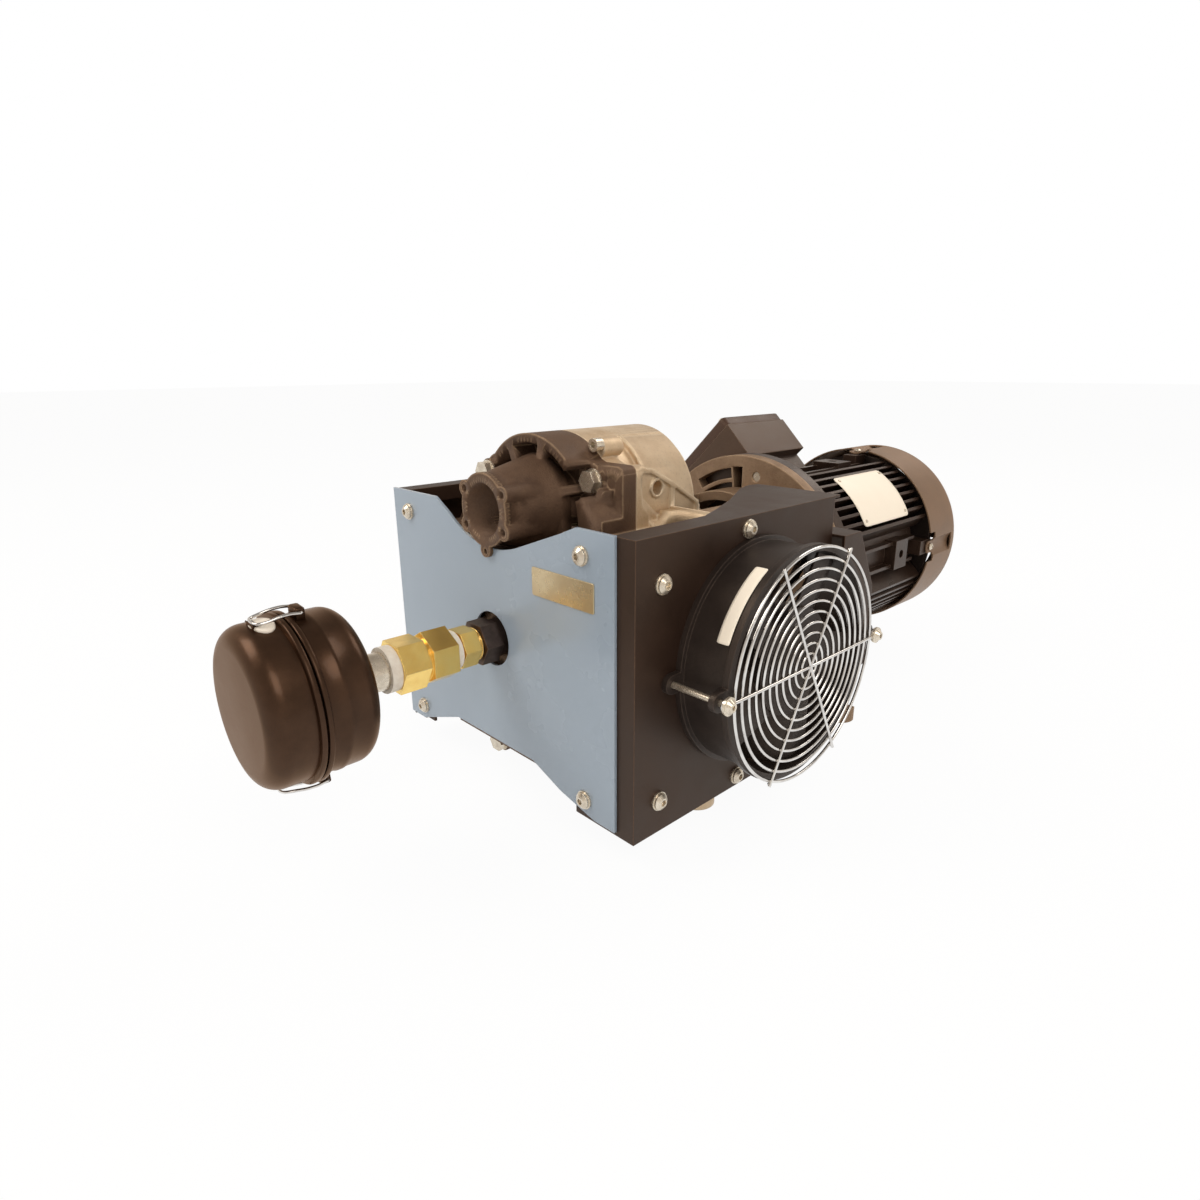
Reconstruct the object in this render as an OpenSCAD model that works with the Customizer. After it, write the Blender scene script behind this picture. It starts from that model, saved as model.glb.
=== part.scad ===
// Dry scroll vacuum pump: a scroll head behind a front panel, a cooling fan on its side, a flanged
// motor behind it, and an exhaust line with a check valve and a filter silencer in front.
// Millimetres. +Z is up, +Y runs along the shaft from the panel to the motor, +X points to the fan.
// The origin is on the floor at the centre of the four foot holes.

/* [Feet and shaft] */
// Distance between the foot holes across the pump
foot_span_x = 216; // [208:1:224]
// Distance between the foot holes along the pump
foot_span_y = 190; // [180:1:200]
// Diameter of a foot hole
foot_hole_d = 9; // [6:0.5:11]
// Radius of a foot's round end
foot_r = 13; // [11:0.5:15]
// Thickness of a foot
foot_t = 12; // [8:1:14]
// Height of the shaft above the floor
shaft_h = 115; // [113:0.5:118]

/* [Panels] */
// Thickness of the sheet metal
sheet_t = 2; // [1.5:0.1:2.5]
// Width of the front panel
panel_w = 238; // [230:1:246]
// Distance from the foot centre forward to the panel's face
panel_front = 185; // [184:0.5:187]
// Height of the panel's lower edge
panel_low = 21; // [18:0.5:24]
// Height of the panel's upper edge
panel_high = 204.5; // [202:0.5:208]
// Radius of the panel's notch under the inlet
notch_r = 80; // [70:1:90]
// Lowest point of that notch
notch_low = 178.5; // [175:0.5:181]
// Radius of the panel's outlet hole
outlet_hole_r = 19; // [17:0.5:22]
// Outer face of the shroud's side, from the middle
shroud_x = 133; // [131:0.5:136]
// Rear edge of the shroud, behind the foot centre
shroud_rear = 15; // [5:1:25]
// Diameter of the sheet metal screws
sheet_screw_d = 6; // [4:0.5:6.5]

/* [Castings] */
// Radius of the flange between the two castings
case_r = 124; // [122:0.5:126]
// Half width of the castings
case_side = 115; // [113.5:0.5:116]
// Distance from the foot centre forward to the joint of the castings
case_joint = 118; // [116:0.5:119]
// Thickness of each casting's flange
case_flange_t = 12; // [10:0.5:13]
// Distance of the bolt circle inside the flange's edge
case_bolt_edge = 10; // [9:0.5:11]
// Diameter of the casting bolts
case_bolt_d = 8; // [6:0.5:9]
// Radius of the hump over the inlet
hump_r = 54; // [52:0.5:56]
// Height of the hump's centre above the shaft
hump_h = 80; // [78:0.5:82]
// Wall of the castings
cast_wall = 6; // [5:0.5:7]
// Outer radius of the housing's barrel
barrel_r = 106; // [104:0.5:107]

/* [Scrolls] */
// Radius of the crank, which is how far the moving scroll is off centre
orbit_e = 5; // [4.5:0.1:5]
// Thickness of the spiral walls
wrap_t = 4; // [3:0.1:4]
// Running gap between the spiral walls
wrap_gap = 0.25; // [0.2:0.05:0.5]
// Height of the spiral walls
wrap_h = 27.6; // [25:0.1:28]
// Gap between a spiral's tip and the other plate
tip_gap = 0.4; // [0.3:0.05:0.6]
// Half turns in a spiral
wrap_halves = 6; // [4:1:6]
// Radius of the spiral's first half turn
wrap_r0 = 12; // [11:0.5:13]
// Thickness of the scroll plates
scroll_plate_t = 8; // [6:0.5:9]
// Radius of the chamber round the spirals
chamber_r = 84; // [82:0.5:86]
// Distance of the three small cranks from the shaft
aux_r = 92; // [91:0.5:93]

/* [Ports] */
// Inlet's place to the right of the middle
inlet_x = 2; // [0:0.5:4]
// Height of the inlet above the shaft
inlet_h = 88.4; // [86:0.2:91]
// Inlet face in front of the foot centre
inlet_front = 188; // [187:0.5:190]
// Bore of the inlet
inlet_bore_d = 35; // [25:0.5:36]
// Inlet bolt spacing across
inlet_bolt_x = 40.6; // [40:0.2:44]
// Inlet bolt spacing in height
inlet_bolt_z = 23.6; // [20:0.2:26]
// Diameter of the inlet's bolt holes
inlet_bolt_d = 5; // [4:0.5:5.5]

/* [Exhaust line] */
// Radius of the filter canister
can_r = 46.5; // [45:0.5:48]
// Length of the canister
can_l = 62; // [59:1:70]
// Distance from the panel to the canister
can_gap = 103; // [102:0.5:105]
// Width of the check valve across its flats
valve_flats = 31; // [30:0.5:34]
// Outer diameter of the exhaust pipe
pipe_d = 24; // [22:0.1:24.5]

/* [Cooling fan] */
// Radius of the fan's round body
fan_r = 75; // [73:0.5:75]
// Depth of the fan
fan_depth = 38; // [36:0.5:42]
// Distance of the fan's axis forward of the foot centre
fan_front = 74; // [73:0.5:75]
// Distance between the fan's two screws
fan_screw_span = 162; // [160:0.5:164]
// Number of rings in the wire guard
guard_rings = 11; // [8:1:12]
// Diameter of the guard's wire
guard_wire_d = 2; // [1.4:0.1:2.4]
// Number of fan blades
fan_blades = 5; // [3:1:7]

/* [Motor] */
// Radius of the motor flange
flange_r = 100; // [98:0.5:102]
// Distance from the foot centre back to the motor flange
flange_rear = 99; // [97:0.5:101]
// Thickness of the motor flange
flange_t = 12; // [10:0.5:13]
// Radius over the motor's fins
fin_r = 86; // [84:0.5:88]
// Radius of the motor's barrel
motor_r = 71; // [70:0.5:73]
// Length of the motor's barrel
motor_l = 148; // [144:1:152]
// Radius of the fan cowl
cowl_r = 91; // [90:0.5:94]
// Length of the fan cowl
cowl_l = 63; // [60:1:68]
// Fins on each of the three sides
motor_fins = 9; // [5:2:9]
// Half width of the terminal box
box_half = 50; // [44:1:52]
// Height of the terminal box over the motor's pad
box_h = 38; // [34:1:40]

/* [Hidden] */
$fn = 72;
// Radial play of a running fit, of a fixed fit and of a screw in its hole
run = 0.05;
fit = 0.02;
play = 0.2;
over = 1;

// Places along the shaft, from the front to the rear
panel_y = -panel_front;
fin_front_y = panel_y + sheet_t + 7;
joint_y = -case_joint;
fixed_face_y = joint_y - 22;
fixed_front_y = fixed_face_y - scroll_plate_t;
orbit_face_y = fixed_face_y + wrap_h + tip_gap;
orbit_back_y = orbit_face_y + scroll_plate_t;
hub_end_y = orbit_back_y + 22;
web_y = hub_end_y + 1;
web_t = 5;
weight_y = web_y + web_t;
weight_t = 9;
cap_y = weight_y + weight_t + 1;
cap_t = 4;
front_bearing_y = cap_y + cap_t;
bearing_w = 15;
bearing_gap = 16;
rear_bearing_y = front_bearing_y + bearing_w + bearing_gap;
hub_rear_y = rear_bearing_y + bearing_w;
wall_y = front_bearing_y + 12;
adapter_y = wall_y + 20;
jaw_y = 18;
jaw_l = 16;
flange_y = flange_rear;
frame_y = flange_y + flange_t + 13;
shield_y = frame_y + motor_l;
cowl_y = shield_y + 10;
cowl_end_y = cowl_y + cowl_l;

// Castings
case_bottom = 1.5;
case_bolt_r = case_r - case_bolt_edge;
case_drum_r = case_r - 14;
bolt_angles = [22.5 : 45 : 340];
short_bolts = [22.5, 67.5];
aux_angles = [90, 225, 315];
lug_x = 60;
lug_h = 99;
lug_r = 16;
spacer_r = 6;
seam_y = [panel_y + 23.4, panel_y + 100.6];
seam_z = [shaft_h + 61, shaft_h - 75];
side_screws = [[seam_y[0], seam_z[0]], [seam_y[0], seam_z[1]],
  [seam_y[1], shaft_h + 80.6], [seam_y[1], shaft_h - 88.6]];
panel_screws = [[-98, panel_high - 15.5], [92.5, panel_high - 15.5], [-98, panel_low + 11.5],
  [92.5, panel_low + 11.5]];
outlet_x = -(panel_w / 2);

// Spirals: half circles that step outward by one pitch each half turn
wrap_c = (wrap_t + orbit_e + wrap_gap) / 2;
function wrap_r(i) = wrap_r0 + 2 * wrap_c * i;
orbit_r = wrap_r(wrap_halves - 1) + wrap_c + wrap_t / 2 + 8;
seal_w = 1.9;
seal_t = 1.6;

// Bearings and pins
pin_r = 10;
orbit_bearing_r = 21;
journal_r = 15;
front_bearing_r = 31;
rear_journal_r = 12.5;
rear_bearing_r = 26;
shaft_end_r = 9.5;
motor_shaft_r = 12;
motor_tail_r = 10;
tail_bearing_r = 23.5;
aux_pin_r = 5;
aux_ring_r = 8.5;
aux_post_r = 6;
aux_post_ring_r = 10;
aux_boss_y = orbit_back_y + 12;
aux_web_y = aux_boss_y + 2;
aux_web_t = 5.5;
aux_post_y = aux_web_y + aux_web_t + 0.5;

// Exhaust line, measured forward from the panel
bushing_front_y = panel_y - 14;
adapter_hex_y = bushing_front_y - 3;
valve_end_y = panel_y - 35.5;
valve_l = 39;
valve_hex = (valve_l - 3) / 2;
valve_front_y = valve_end_y - valve_l;
valve_seat_y = valve_end_y - 9;
retainer_y = valve_front_y + 11;
retainer_t = 4;
thread_r = 10.5;
can_y = panel_y - can_gap;
can_seam_y = can_y - 34;
can_front_y = can_y - can_l;
can_wall = 1.5;
bead_r = can_r + 3;
clip_angles = [86, -78];
clip_y = can_seam_y + 8.5;
clip_reach = 24;
clip_wire_r = 1;
clip_pivot_r = can_r + 4.5;
clip_half = 7;
clip_drop = 1.7;

// Fan
fan_x = shroud_x;
fan_y = -fan_front;
fan_tip_x = fan_x + fan_depth;
duct_r = fan_r - 4.5;
blade_r = duct_r - 1.5;
guard_x = fan_tip_x + 4;

// Motor
box_angle = 135;
pad_r = fin_r - 2;
box_low = pad_r + fit;
box_y0 = frame_y + 6;
box_len = 92;
cowl_wall = 1.5;
groove_r = 14;
groove_place = cowl_r + 10;
motor_fan_r = groove_place - groove_r - cowl_wall - 2;
flange_bolt_angles = [80 : 90 : 350];
flange_bolt_place = 84;
stator_y = frame_y + 22;
stator_len = 96;
stator_bore = 44.2;

// Point at a distance and an angle from the shaft, as [x, z]
function about(r, a) = [r * cos(a), shaft_h + r * sin(a)];

// Stands children on the shaft's direction: their z runs along +Y, from y
module on_shaft(y, x = 0, z = shaft_h) translate([x, y, z]) rotate([-90, 0, 0]) children();
// Stands children on the fan's direction: their z runs along +X, from x
module on_fan(x, y = fan_y, z = shaft_h) translate([x, y, z]) rotate([0, 90, 0]) children();
// Extrudes an outline drawn in x and z by t along +Y, from y
module face(y, t) translate([0, y + t, 0]) rotate([90, 0, 0]) linear_extrude(t) children();
// Extrudes an outline drawn in y and z by t along +X, from x
module side(x, t) translate([x, 0, 0]) rotate([90, 0, 90]) linear_extrude(t) children();
// Turns children about the shaft, so that their +Z points at an angle from +X
module turned(a) translate([0, 0, shaft_h]) rotate([0, 90 - a, 0]) children();
// Ring along +Z
module ring(h, r_out, r_in) difference() {
  cylinder(h = h, r = r_out);
  translate([0, 0, -over]) cylinder(h = h + 2 * over, r = r_in);
}
// Hexagon prism by its width across flats
module hex(h, flats) cylinder(h = h, r = flats / sqrt(3), $fn = 6);
// Button head screw along +Z, with its head above z = 0 and its shank below
module button_screw(d, l) {
  difference() {
    union() {
      cylinder(h = d * 0.25, r = d * 0.88);
      translate([0, 0, d * 0.25]) cylinder(h = d * 0.3, r1 = d * 0.88, r2 = d * 0.5);
    }
    translate([0, 0, d * 0.2]) hex(d, d * 0.62);
  }
  translate([0, 0, -l]) cylinder(h = l + 0.5, r = d / 2);
}
// Washer under such a head
module washer(d) ring(1.2, d, d / 2 + play / 2);
// Straight wire between two points, with round ends
module wire(a, b, r) {
  v = b - a;
  l = norm(v);
  translate(a) rotate([0, acos(v[2] / l), atan2(v[1], v[0])]) cylinder(h = l, r = r, $fn = 24);
  translate(a) sphere(r = r, $fn = 24);
  translate(b) sphere(r = r, $fn = 24);
}
// Wire through a list of points
module wire_path(points, r) for (i = [0 : len(points) - 2]) wire(points[i], points[i + 1], r);
// Sealed ball bearing along +Z
module bearing(w, r_out, r_in) difference() {
  ring(w, r_out, r_in);
  for (z = [-over, w - 0.8]) translate([0, 0, z])
    ring(over + 0.8, r_out - 0.25 * (r_out - r_in), r_in + 0.25 * (r_out - r_in));
}

module front_panel() {
  top = panel_high;
  low = panel_low;
  arch = 18;
  cz = notch_low + notch_r;
  x0 = -48;
  x1 = 28;
  slope = 0.37;
  color("steelblue") face(panel_y, sheet_t) difference() {
    translate([-panel_w / 2, low]) square([panel_w, top - low]);
    polygon(concat(
      [for (x = [x0 : 4 : x1]) [5 + x, cz - sqrt(notch_r * notch_r - x * x)]],
      [[5 + x1 + 41, cz - sqrt(notch_r * notch_r - x1 * x1) + 41 * slope], [90, top + over],
        [-62, top + over]]));
    polygon([[-100, low - over], [-98, low + 0.7], [-49, low + arch], [41, low + arch],
      [68.5, low + 7.5], [101, low], [101, low - over]]);
    translate([0, shaft_h]) circle(r = outlet_hole_r);
    for (p = panel_screws) translate(p) circle(r = sheet_screw_d / 2 + play);
  }
}

module cooling_shroud() {
  y0 = panel_y + sheet_t;
  inner = shroud_x - sheet_t;
  z0 = panel_low - 2.8;
  z1 = panel_high - 0.7;
  color("#22201f") {
    side(inner, sheet_t) difference() {
      translate([y0, z0]) square([shroud_rear - y0, z1 - z0]);
      translate([fan_y, shaft_h]) circle(r = duct_r);
      for (p = side_screws) translate(p) circle(r = sheet_screw_d / 2 + play);
      for (s = [-1, 1]) translate([fan_y + s * fan_screw_span / 2, shaft_h]) circle(r = 2.3);
    }
    face(y0, sheet_t) difference() {
      translate([82, z0]) square([inner + 1 - 82, z1 - z0]);
      for (p = panel_screws) translate(p) circle(r = sheet_screw_d / 2 + play);
    }
    translate([0, 0, z1 - sheet_t]) linear_extrude(sheet_t) polygon([[inner + 1, y0 + 1],
      [inner + 1, shroud_rear + 8], [63, shroud_rear + 8], [61, shroud_rear - 2], [66, -4],
      [91, -49], [104, -78], [inner - 16, -105], [inner - 16, y0 + 1]]);
    translate([inner - 16, y0 + 1, z0]) cube([17, shroud_rear - y0 - 1, sheet_t]);
  }
}

module air_guide() {
  y0 = shroud_rear + 0.3;
  z1 = shaft_h + 62;
  profile = [[y0, z1], [y0 + 22, z1], [y0 + 47, z1 - 45], [y0 + 47, z1 - 108], [y0, z1 - 108]];
  inset = [[y0 - over, z1 - sheet_t], [y0 + 21, z1 - sheet_t], [y0 + 45, z1 - 45.6],
    [y0 + 45, z1 - 106], [y0 - over, z1 - 106]];
  color("#2a2725") difference() {
    side(104, shroud_x + 10 - 104) polygon(profile);
    side(103, shroud_x + 9 - sheet_t - 103 + 1) polygon(inset);
  }
}

module outlet_sheet() {
  y0 = panel_y + sheet_t;
  y1 = y0 + 113;
  z0 = panel_low;
  z1 = panel_high - 0.7;
  x0 = outlet_x;
  color("#22201f") {
    side(x0, sheet_t) difference() {
      translate([y0, z0 - 2.8]) square([y1 - y0, z1 - z0 + 2.8]);
      translate([y0 + 34, shaft_h - 62]) square([y1 - y0 - 58, 108]);
      for (p = side_screws) translate(p) circle(r = sheet_screw_d / 2 + play);
    }
    face(y0, sheet_t) difference() {
      translate([x0 + 1, z0]) square([30, z1 - z0]);
      for (p = panel_screws) translate(p) circle(r = sheet_screw_d / 2 + play);
    }
    translate([x0 + 1, y0 + 1, z1 - sheet_t]) cube([15, y1 - y0 - 1, sheet_t]);
    translate([x0 + 14, y0 + 1, z1 - 11]) cube([sheet_t, seam_y[1] - spacer_r - 3 - y0, 11]);
    translate([x0 + 1, y0 + 1, z0 - 2.8]) cube([15, y1 - y0 - 1, sheet_t]);
  }
}

module sheet_screws() color("silver") {
  for (p = panel_screws) translate([p[0], panel_y, p[1]]) rotate([90, 0, 0]) {
    washer(sheet_screw_d);
    translate([0, 0, 1.2]) button_screw(sheet_screw_d, 8);
  }
  for (p = side_screws) {
    translate([shroud_x, p[0], p[1]]) rotate([0, 90, 0]) {
      washer(sheet_screw_d);
      translate([0, 0, 1.2]) button_screw(sheet_screw_d, 26);
    }
    translate([outlet_x, p[0], p[1]]) rotate([0, -90, 0]) {
      washer(sheet_screw_d);
      translate([0, 0, 1.2]) button_screw(sheet_screw_d, 12);
    }
  }
}

module shroud_spacers() color("silver") for (p = side_screws)
  translate([case_side, p[0], p[1]]) rotate([0, 90, 0])
    ring(shroud_x - sheet_t - case_side, spacer_r, sheet_screw_d / 2 + play);

// Outline that both castings share at their joint, in x and z
module case_outline(inset = 0) {
  intersection() {
    translate([0, shaft_h]) circle(r = case_r - inset, $fn = 128);
    translate([-case_side, case_bottom]) square([2 * case_side, 3 * case_r]);
  }
  translate([0, shaft_h + hump_h]) circle(r = hump_r, $fn = 96);
  for (s = [-1, 1]) translate([s * lug_x, shaft_h + lug_h]) circle(r = lug_r);
}

// Side lugs of a casting, which the sheets are screwed to; web_t reaches back to the casting
module sheet_lugs(places, x_in, y_to) for (p = places) {
  on_fan(x_in, p[0], p[1]) cylinder(h = case_side - x_in, r = spacer_r);
  translate([0, 0, 0]) on_fan(outlet_x + sheet_t, p[0], p[1])
    cylinder(h = -x_in - outlet_x - sheet_t, r = spacer_r);
  for (s = [-1, 1]) translate([s > 0 ? x_in : -x_in - 30, min(p[0], y_to), p[1] - spacer_r + 1])
    cube([30, abs(y_to - p[0]), 2 * spacer_r - 2]);
}
module sheet_lug_holes(places) for (p = places)
  on_fan(outlet_x - over, p[0], p[1]) {
    cylinder(h = 16, r = sheet_screw_d / 2 + play / 2);
    translate([0, 0, case_side - 12 - outlet_x + over])
      cylinder(h = 14, r = sheet_screw_d / 2 + play / 2);
  }

// Spiral wall along +Y from y, with its centreline in half circles
module spiral(y, h, t, turn) on_shaft(y) rotate([0, 0, turn]) for (i = [0 : wrap_halves - 1]) {
  up = i % 2 == 0;
  translate([up ? -wrap_c : wrap_c, 0, 0]) rotate([0, 0, up ? 0 : 180])
    rotate_extrude(angle = 180) translate([wrap_r(i) - t / 2, 0]) square([t, h]);
}

module fixed_scroll() {
  neck_y = fixed_front_y;
  neck_l = inlet_front + neck_y;
  drum_r = case_drum_r;
  drum_side = min(drum_r, case_side - 5);
  fin_pitch = 12;
  color("#4b4038") difference() {
    union() {
      difference() {
        union() {
          face(joint_y - case_flange_t, case_flange_t) case_outline();
          face(fixed_front_y, joint_y - fixed_front_y) {
            intersection() {
              translate([0, shaft_h]) circle(r = drum_r, $fn = 128);
              translate([-drum_side, case_bottom]) square([2 * drum_side, 3 * drum_r]);
            }
            translate([0, shaft_h + hump_h]) circle(r = hump_r, $fn = 96);
          }
          for (a = bolt_angles) if (len(search(a, short_bolts)) == 0)
            on_shaft(fixed_front_y - 2, about(case_bolt_r, a)[0], about(case_bolt_r, a)[1])
              cylinder(h = joint_y - fixed_front_y, r = 9);
        }
        on_shaft(fixed_face_y) cylinder(h = case_joint, r = chamber_r);
        // Pockets between the neck and the hump, and behind the hump
        on_shaft(fixed_front_y - 3, 0, shaft_h + hump_h) difference() {
          cylinder(h = 22, r = hump_r - cast_wall);
          cylinder(h = 22, r = 33);
          for (a = [30, 75, 115, 160]) rotate([0, 0, -a]) translate([0, -3, 0]) cube([60, 6, 30]);
          translate([-60, 8, 0]) cube([120, 60, 30]);
        }
        for (a = short_bolts)
          on_shaft(fixed_front_y - 4, about(case_bolt_r, a)[0], about(case_bolt_r, a)[1])
            cylinder(h = joint_y - case_flange_t - fixed_front_y + 4, r = 11);
      }
      on_shaft(-inlet_front, inlet_x, shaft_h + inlet_h) {
        cylinder(h = neck_l + 6, r1 = 22, r2 = 33);
        cylinder(h = 4, r = 24);
        for (sx = [-1, 1], sz = [-1, 1]) translate([sx * inlet_bolt_x / 2, sz * inlet_bolt_z / 2, 0])
          cylinder(h = neck_l + 4, r = 5.5);
        translate([0, 26, 0]) cylinder(h = inlet_front - panel_front - 0.2, r = 5);
      }
      on_shaft(fin_front_y - 2) cylinder(h = fixed_front_y - fin_front_y + 3, r = 21);
      for (dz = [-84 : fin_pitch : 60]) {
        w = sqrt(pow(drum_r - 6, 2) - dz * dz);
        translate([-w, fin_front_y, shaft_h + dz - 1.5])
          cube([2 * w, fixed_front_y - fin_front_y + 1, 3]);
      }
      for (s = [-1, 1]) translate([s * 52 - 2, fin_front_y, shaft_h - 84])
        cube([4, fixed_front_y - fin_front_y + 1, 144]);
      for (a = [0 : 30 : 150]) intersection() {
        turned(a) translate([-2.5, joint_y - case_flange_t - 8, -case_r + 3])
          cube([5, 10, 2 * case_r - 6]);
        translate([-case_side, joint_y - 40, case_bottom]) cube([2 * case_side, 60, 3 * case_r]);
        difference() {
          on_shaft(joint_y - 40) cylinder(h = 60, r = case_r - 2, $fn = 128);
          on_shaft(joint_y - 41) cylinder(h = 62, r = drum_r - 2, $fn = 128);
        }
      }
      sheet_lugs([side_screws[0], side_screws[1]], 56, fixed_front_y + 1);
      spiral(fixed_face_y - over, wrap_h + over, wrap_t, 0);
    }
    spiral(fixed_face_y + wrap_h - seal_t, seal_t + over, seal_w + 0.1, 0);
    // Inlet bore with a seat ring, open to the chamber's top
    on_shaft(-inlet_front - over, inlet_x, shaft_h + inlet_h) {
      cylinder(h = 15, r = inlet_bore_d / 2);
      cylinder(h = inlet_front + joint_y - 10, r = inlet_bore_d / 2 - 2.5);
      for (sx = [-1, 1], sz = [-1, 1]) translate([sx * inlet_bolt_x / 2, sz * inlet_bolt_z / 2, 0])
        cylinder(h = 15, r = inlet_bolt_d / 2);
      translate([0, 27, 0]) cylinder(h = 6, r = 2);
    }
    // Outlet through the middle
    on_shaft(fin_front_y - 3) cylinder(h = 18, r = 13 + play / 2);
    on_shaft(fin_front_y - 3) cylinder(h = fixed_face_y - fin_front_y + 4, r = 6);
    for (a = bolt_angles)
      on_shaft(fixed_front_y - 10, about(case_bolt_r, a)[0], about(case_bolt_r, a)[1])
        cylinder(h = case_joint, r = case_bolt_d / 2 + play);
    for (s = [-1, 1]) on_shaft(joint_y - 40, s * lug_x, shaft_h + lug_h + 6) cylinder(h = 60, r = 4);
    sheet_lug_holes([side_screws[0], side_screws[1]]);
    on_shaft(joint_y - 1.5) ring(3, chamber_r + 7, chamber_r + 4);
  }
}

module fixed_tip_seal() color("white")
  spiral(fixed_face_y + wrap_h - seal_t, seal_t + tip_gap - 0.1, seal_w, 0);

module orbiting_scroll() {
  fin_h = 14;
  color("#8d8a86") translate([orbit_e, 0, 0]) difference() {
    union() {
      on_shaft(orbit_face_y) cylinder(h = scroll_plate_t, r = orbit_r, $fn = 128);
      on_shaft(orbit_back_y - 1) cylinder(h = hub_end_y - orbit_back_y + 1, r = orbit_bearing_r + 6);
      for (a = aux_angles) {
        on_shaft(orbit_face_y, about(aux_r, a)[0], about(aux_r, a)[1]) {
          cylinder(h = scroll_plate_t, r = 17);
          cylinder(h = aux_boss_y - orbit_face_y, r = 13);
        }
        turned(a) translate([-14, orbit_face_y + 0.5, 40]) cube([28, scroll_plate_t - 1, aux_r - 40]);
      }
      for (dz = [-60 : 12 : 60]) {
        w = sqrt(pow(orbit_r - 4, 2) - dz * dz);
        translate([-w, orbit_back_y - 1, shaft_h + dz - 1.5]) cube([2 * w, fin_h + 1, 3]);
      }
      spiral(orbit_face_y - wrap_h, wrap_h + over, wrap_t, 180);
    }
    spiral(orbit_face_y - wrap_h - over, seal_t + over, seal_w + 0.1, 180);
    on_shaft(orbit_back_y + 1) cylinder(h = 40, r = orbit_bearing_r + fit);
    for (a = aux_angles)
      on_shaft(orbit_face_y + 1.5, about(aux_r, a)[0], about(aux_r, a)[1])
        cylinder(h = 40, r = aux_ring_r + fit);
  }
}

module orbiting_tip_seal() color("white") translate([orbit_e, 0, 0])
  spiral(orbit_face_y - wrap_h - tip_gap + 0.1, seal_t + tip_gap - 0.1, seal_w, 180);

module case_seal() color("#1b1b1b") on_shaft(joint_y - 1.4) ring(1.4, chamber_r + 6.9, chamber_r + 4.1);

module case_bolts() color("silver") for (a = bolt_angles) {
  short = len(search(a, short_bolts)) > 0;
  y = short ? joint_y - case_flange_t : fixed_front_y - 2;
  on_shaft(y, about(case_bolt_r, a)[0], about(case_bolt_r, a)[1]) {
    translate([0, 0, -1.5]) ring(1.5, case_bolt_d, case_bolt_d / 2 + play / 2);
    translate([0, 0, -1.5 - case_bolt_d * 0.65]) hex(case_bolt_d * 0.65, case_bolt_d * 1.62);
    translate([0, 0, -2]) cylinder(h = joint_y + case_flange_t - 1 - y + 2, r = case_bolt_d / 2);
  }
}

// One foot: a bar across with two round ends, from the floor up to z
module foot_bar(y) difference() {
  union() {
    translate([-foot_span_x / 2, y - foot_r, 0]) cube([foot_span_x, 2 * foot_r, foot_t]);
    for (s = [-1, 1]) translate([s * foot_span_x / 2, y, 0]) cylinder(h = foot_t, r = foot_r);
  }
  for (s = [-1, 1]) translate([s * foot_span_x / 2, y, -over])
    cylinder(h = foot_t + 2 * over, r = foot_hole_d / 2);
  translate([-foot_span_x / 2 + 34, y - foot_r - over, -over])
    cube([foot_span_x - 68, 2 * foot_r + 2 * over, 1 + over]);
}

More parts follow.
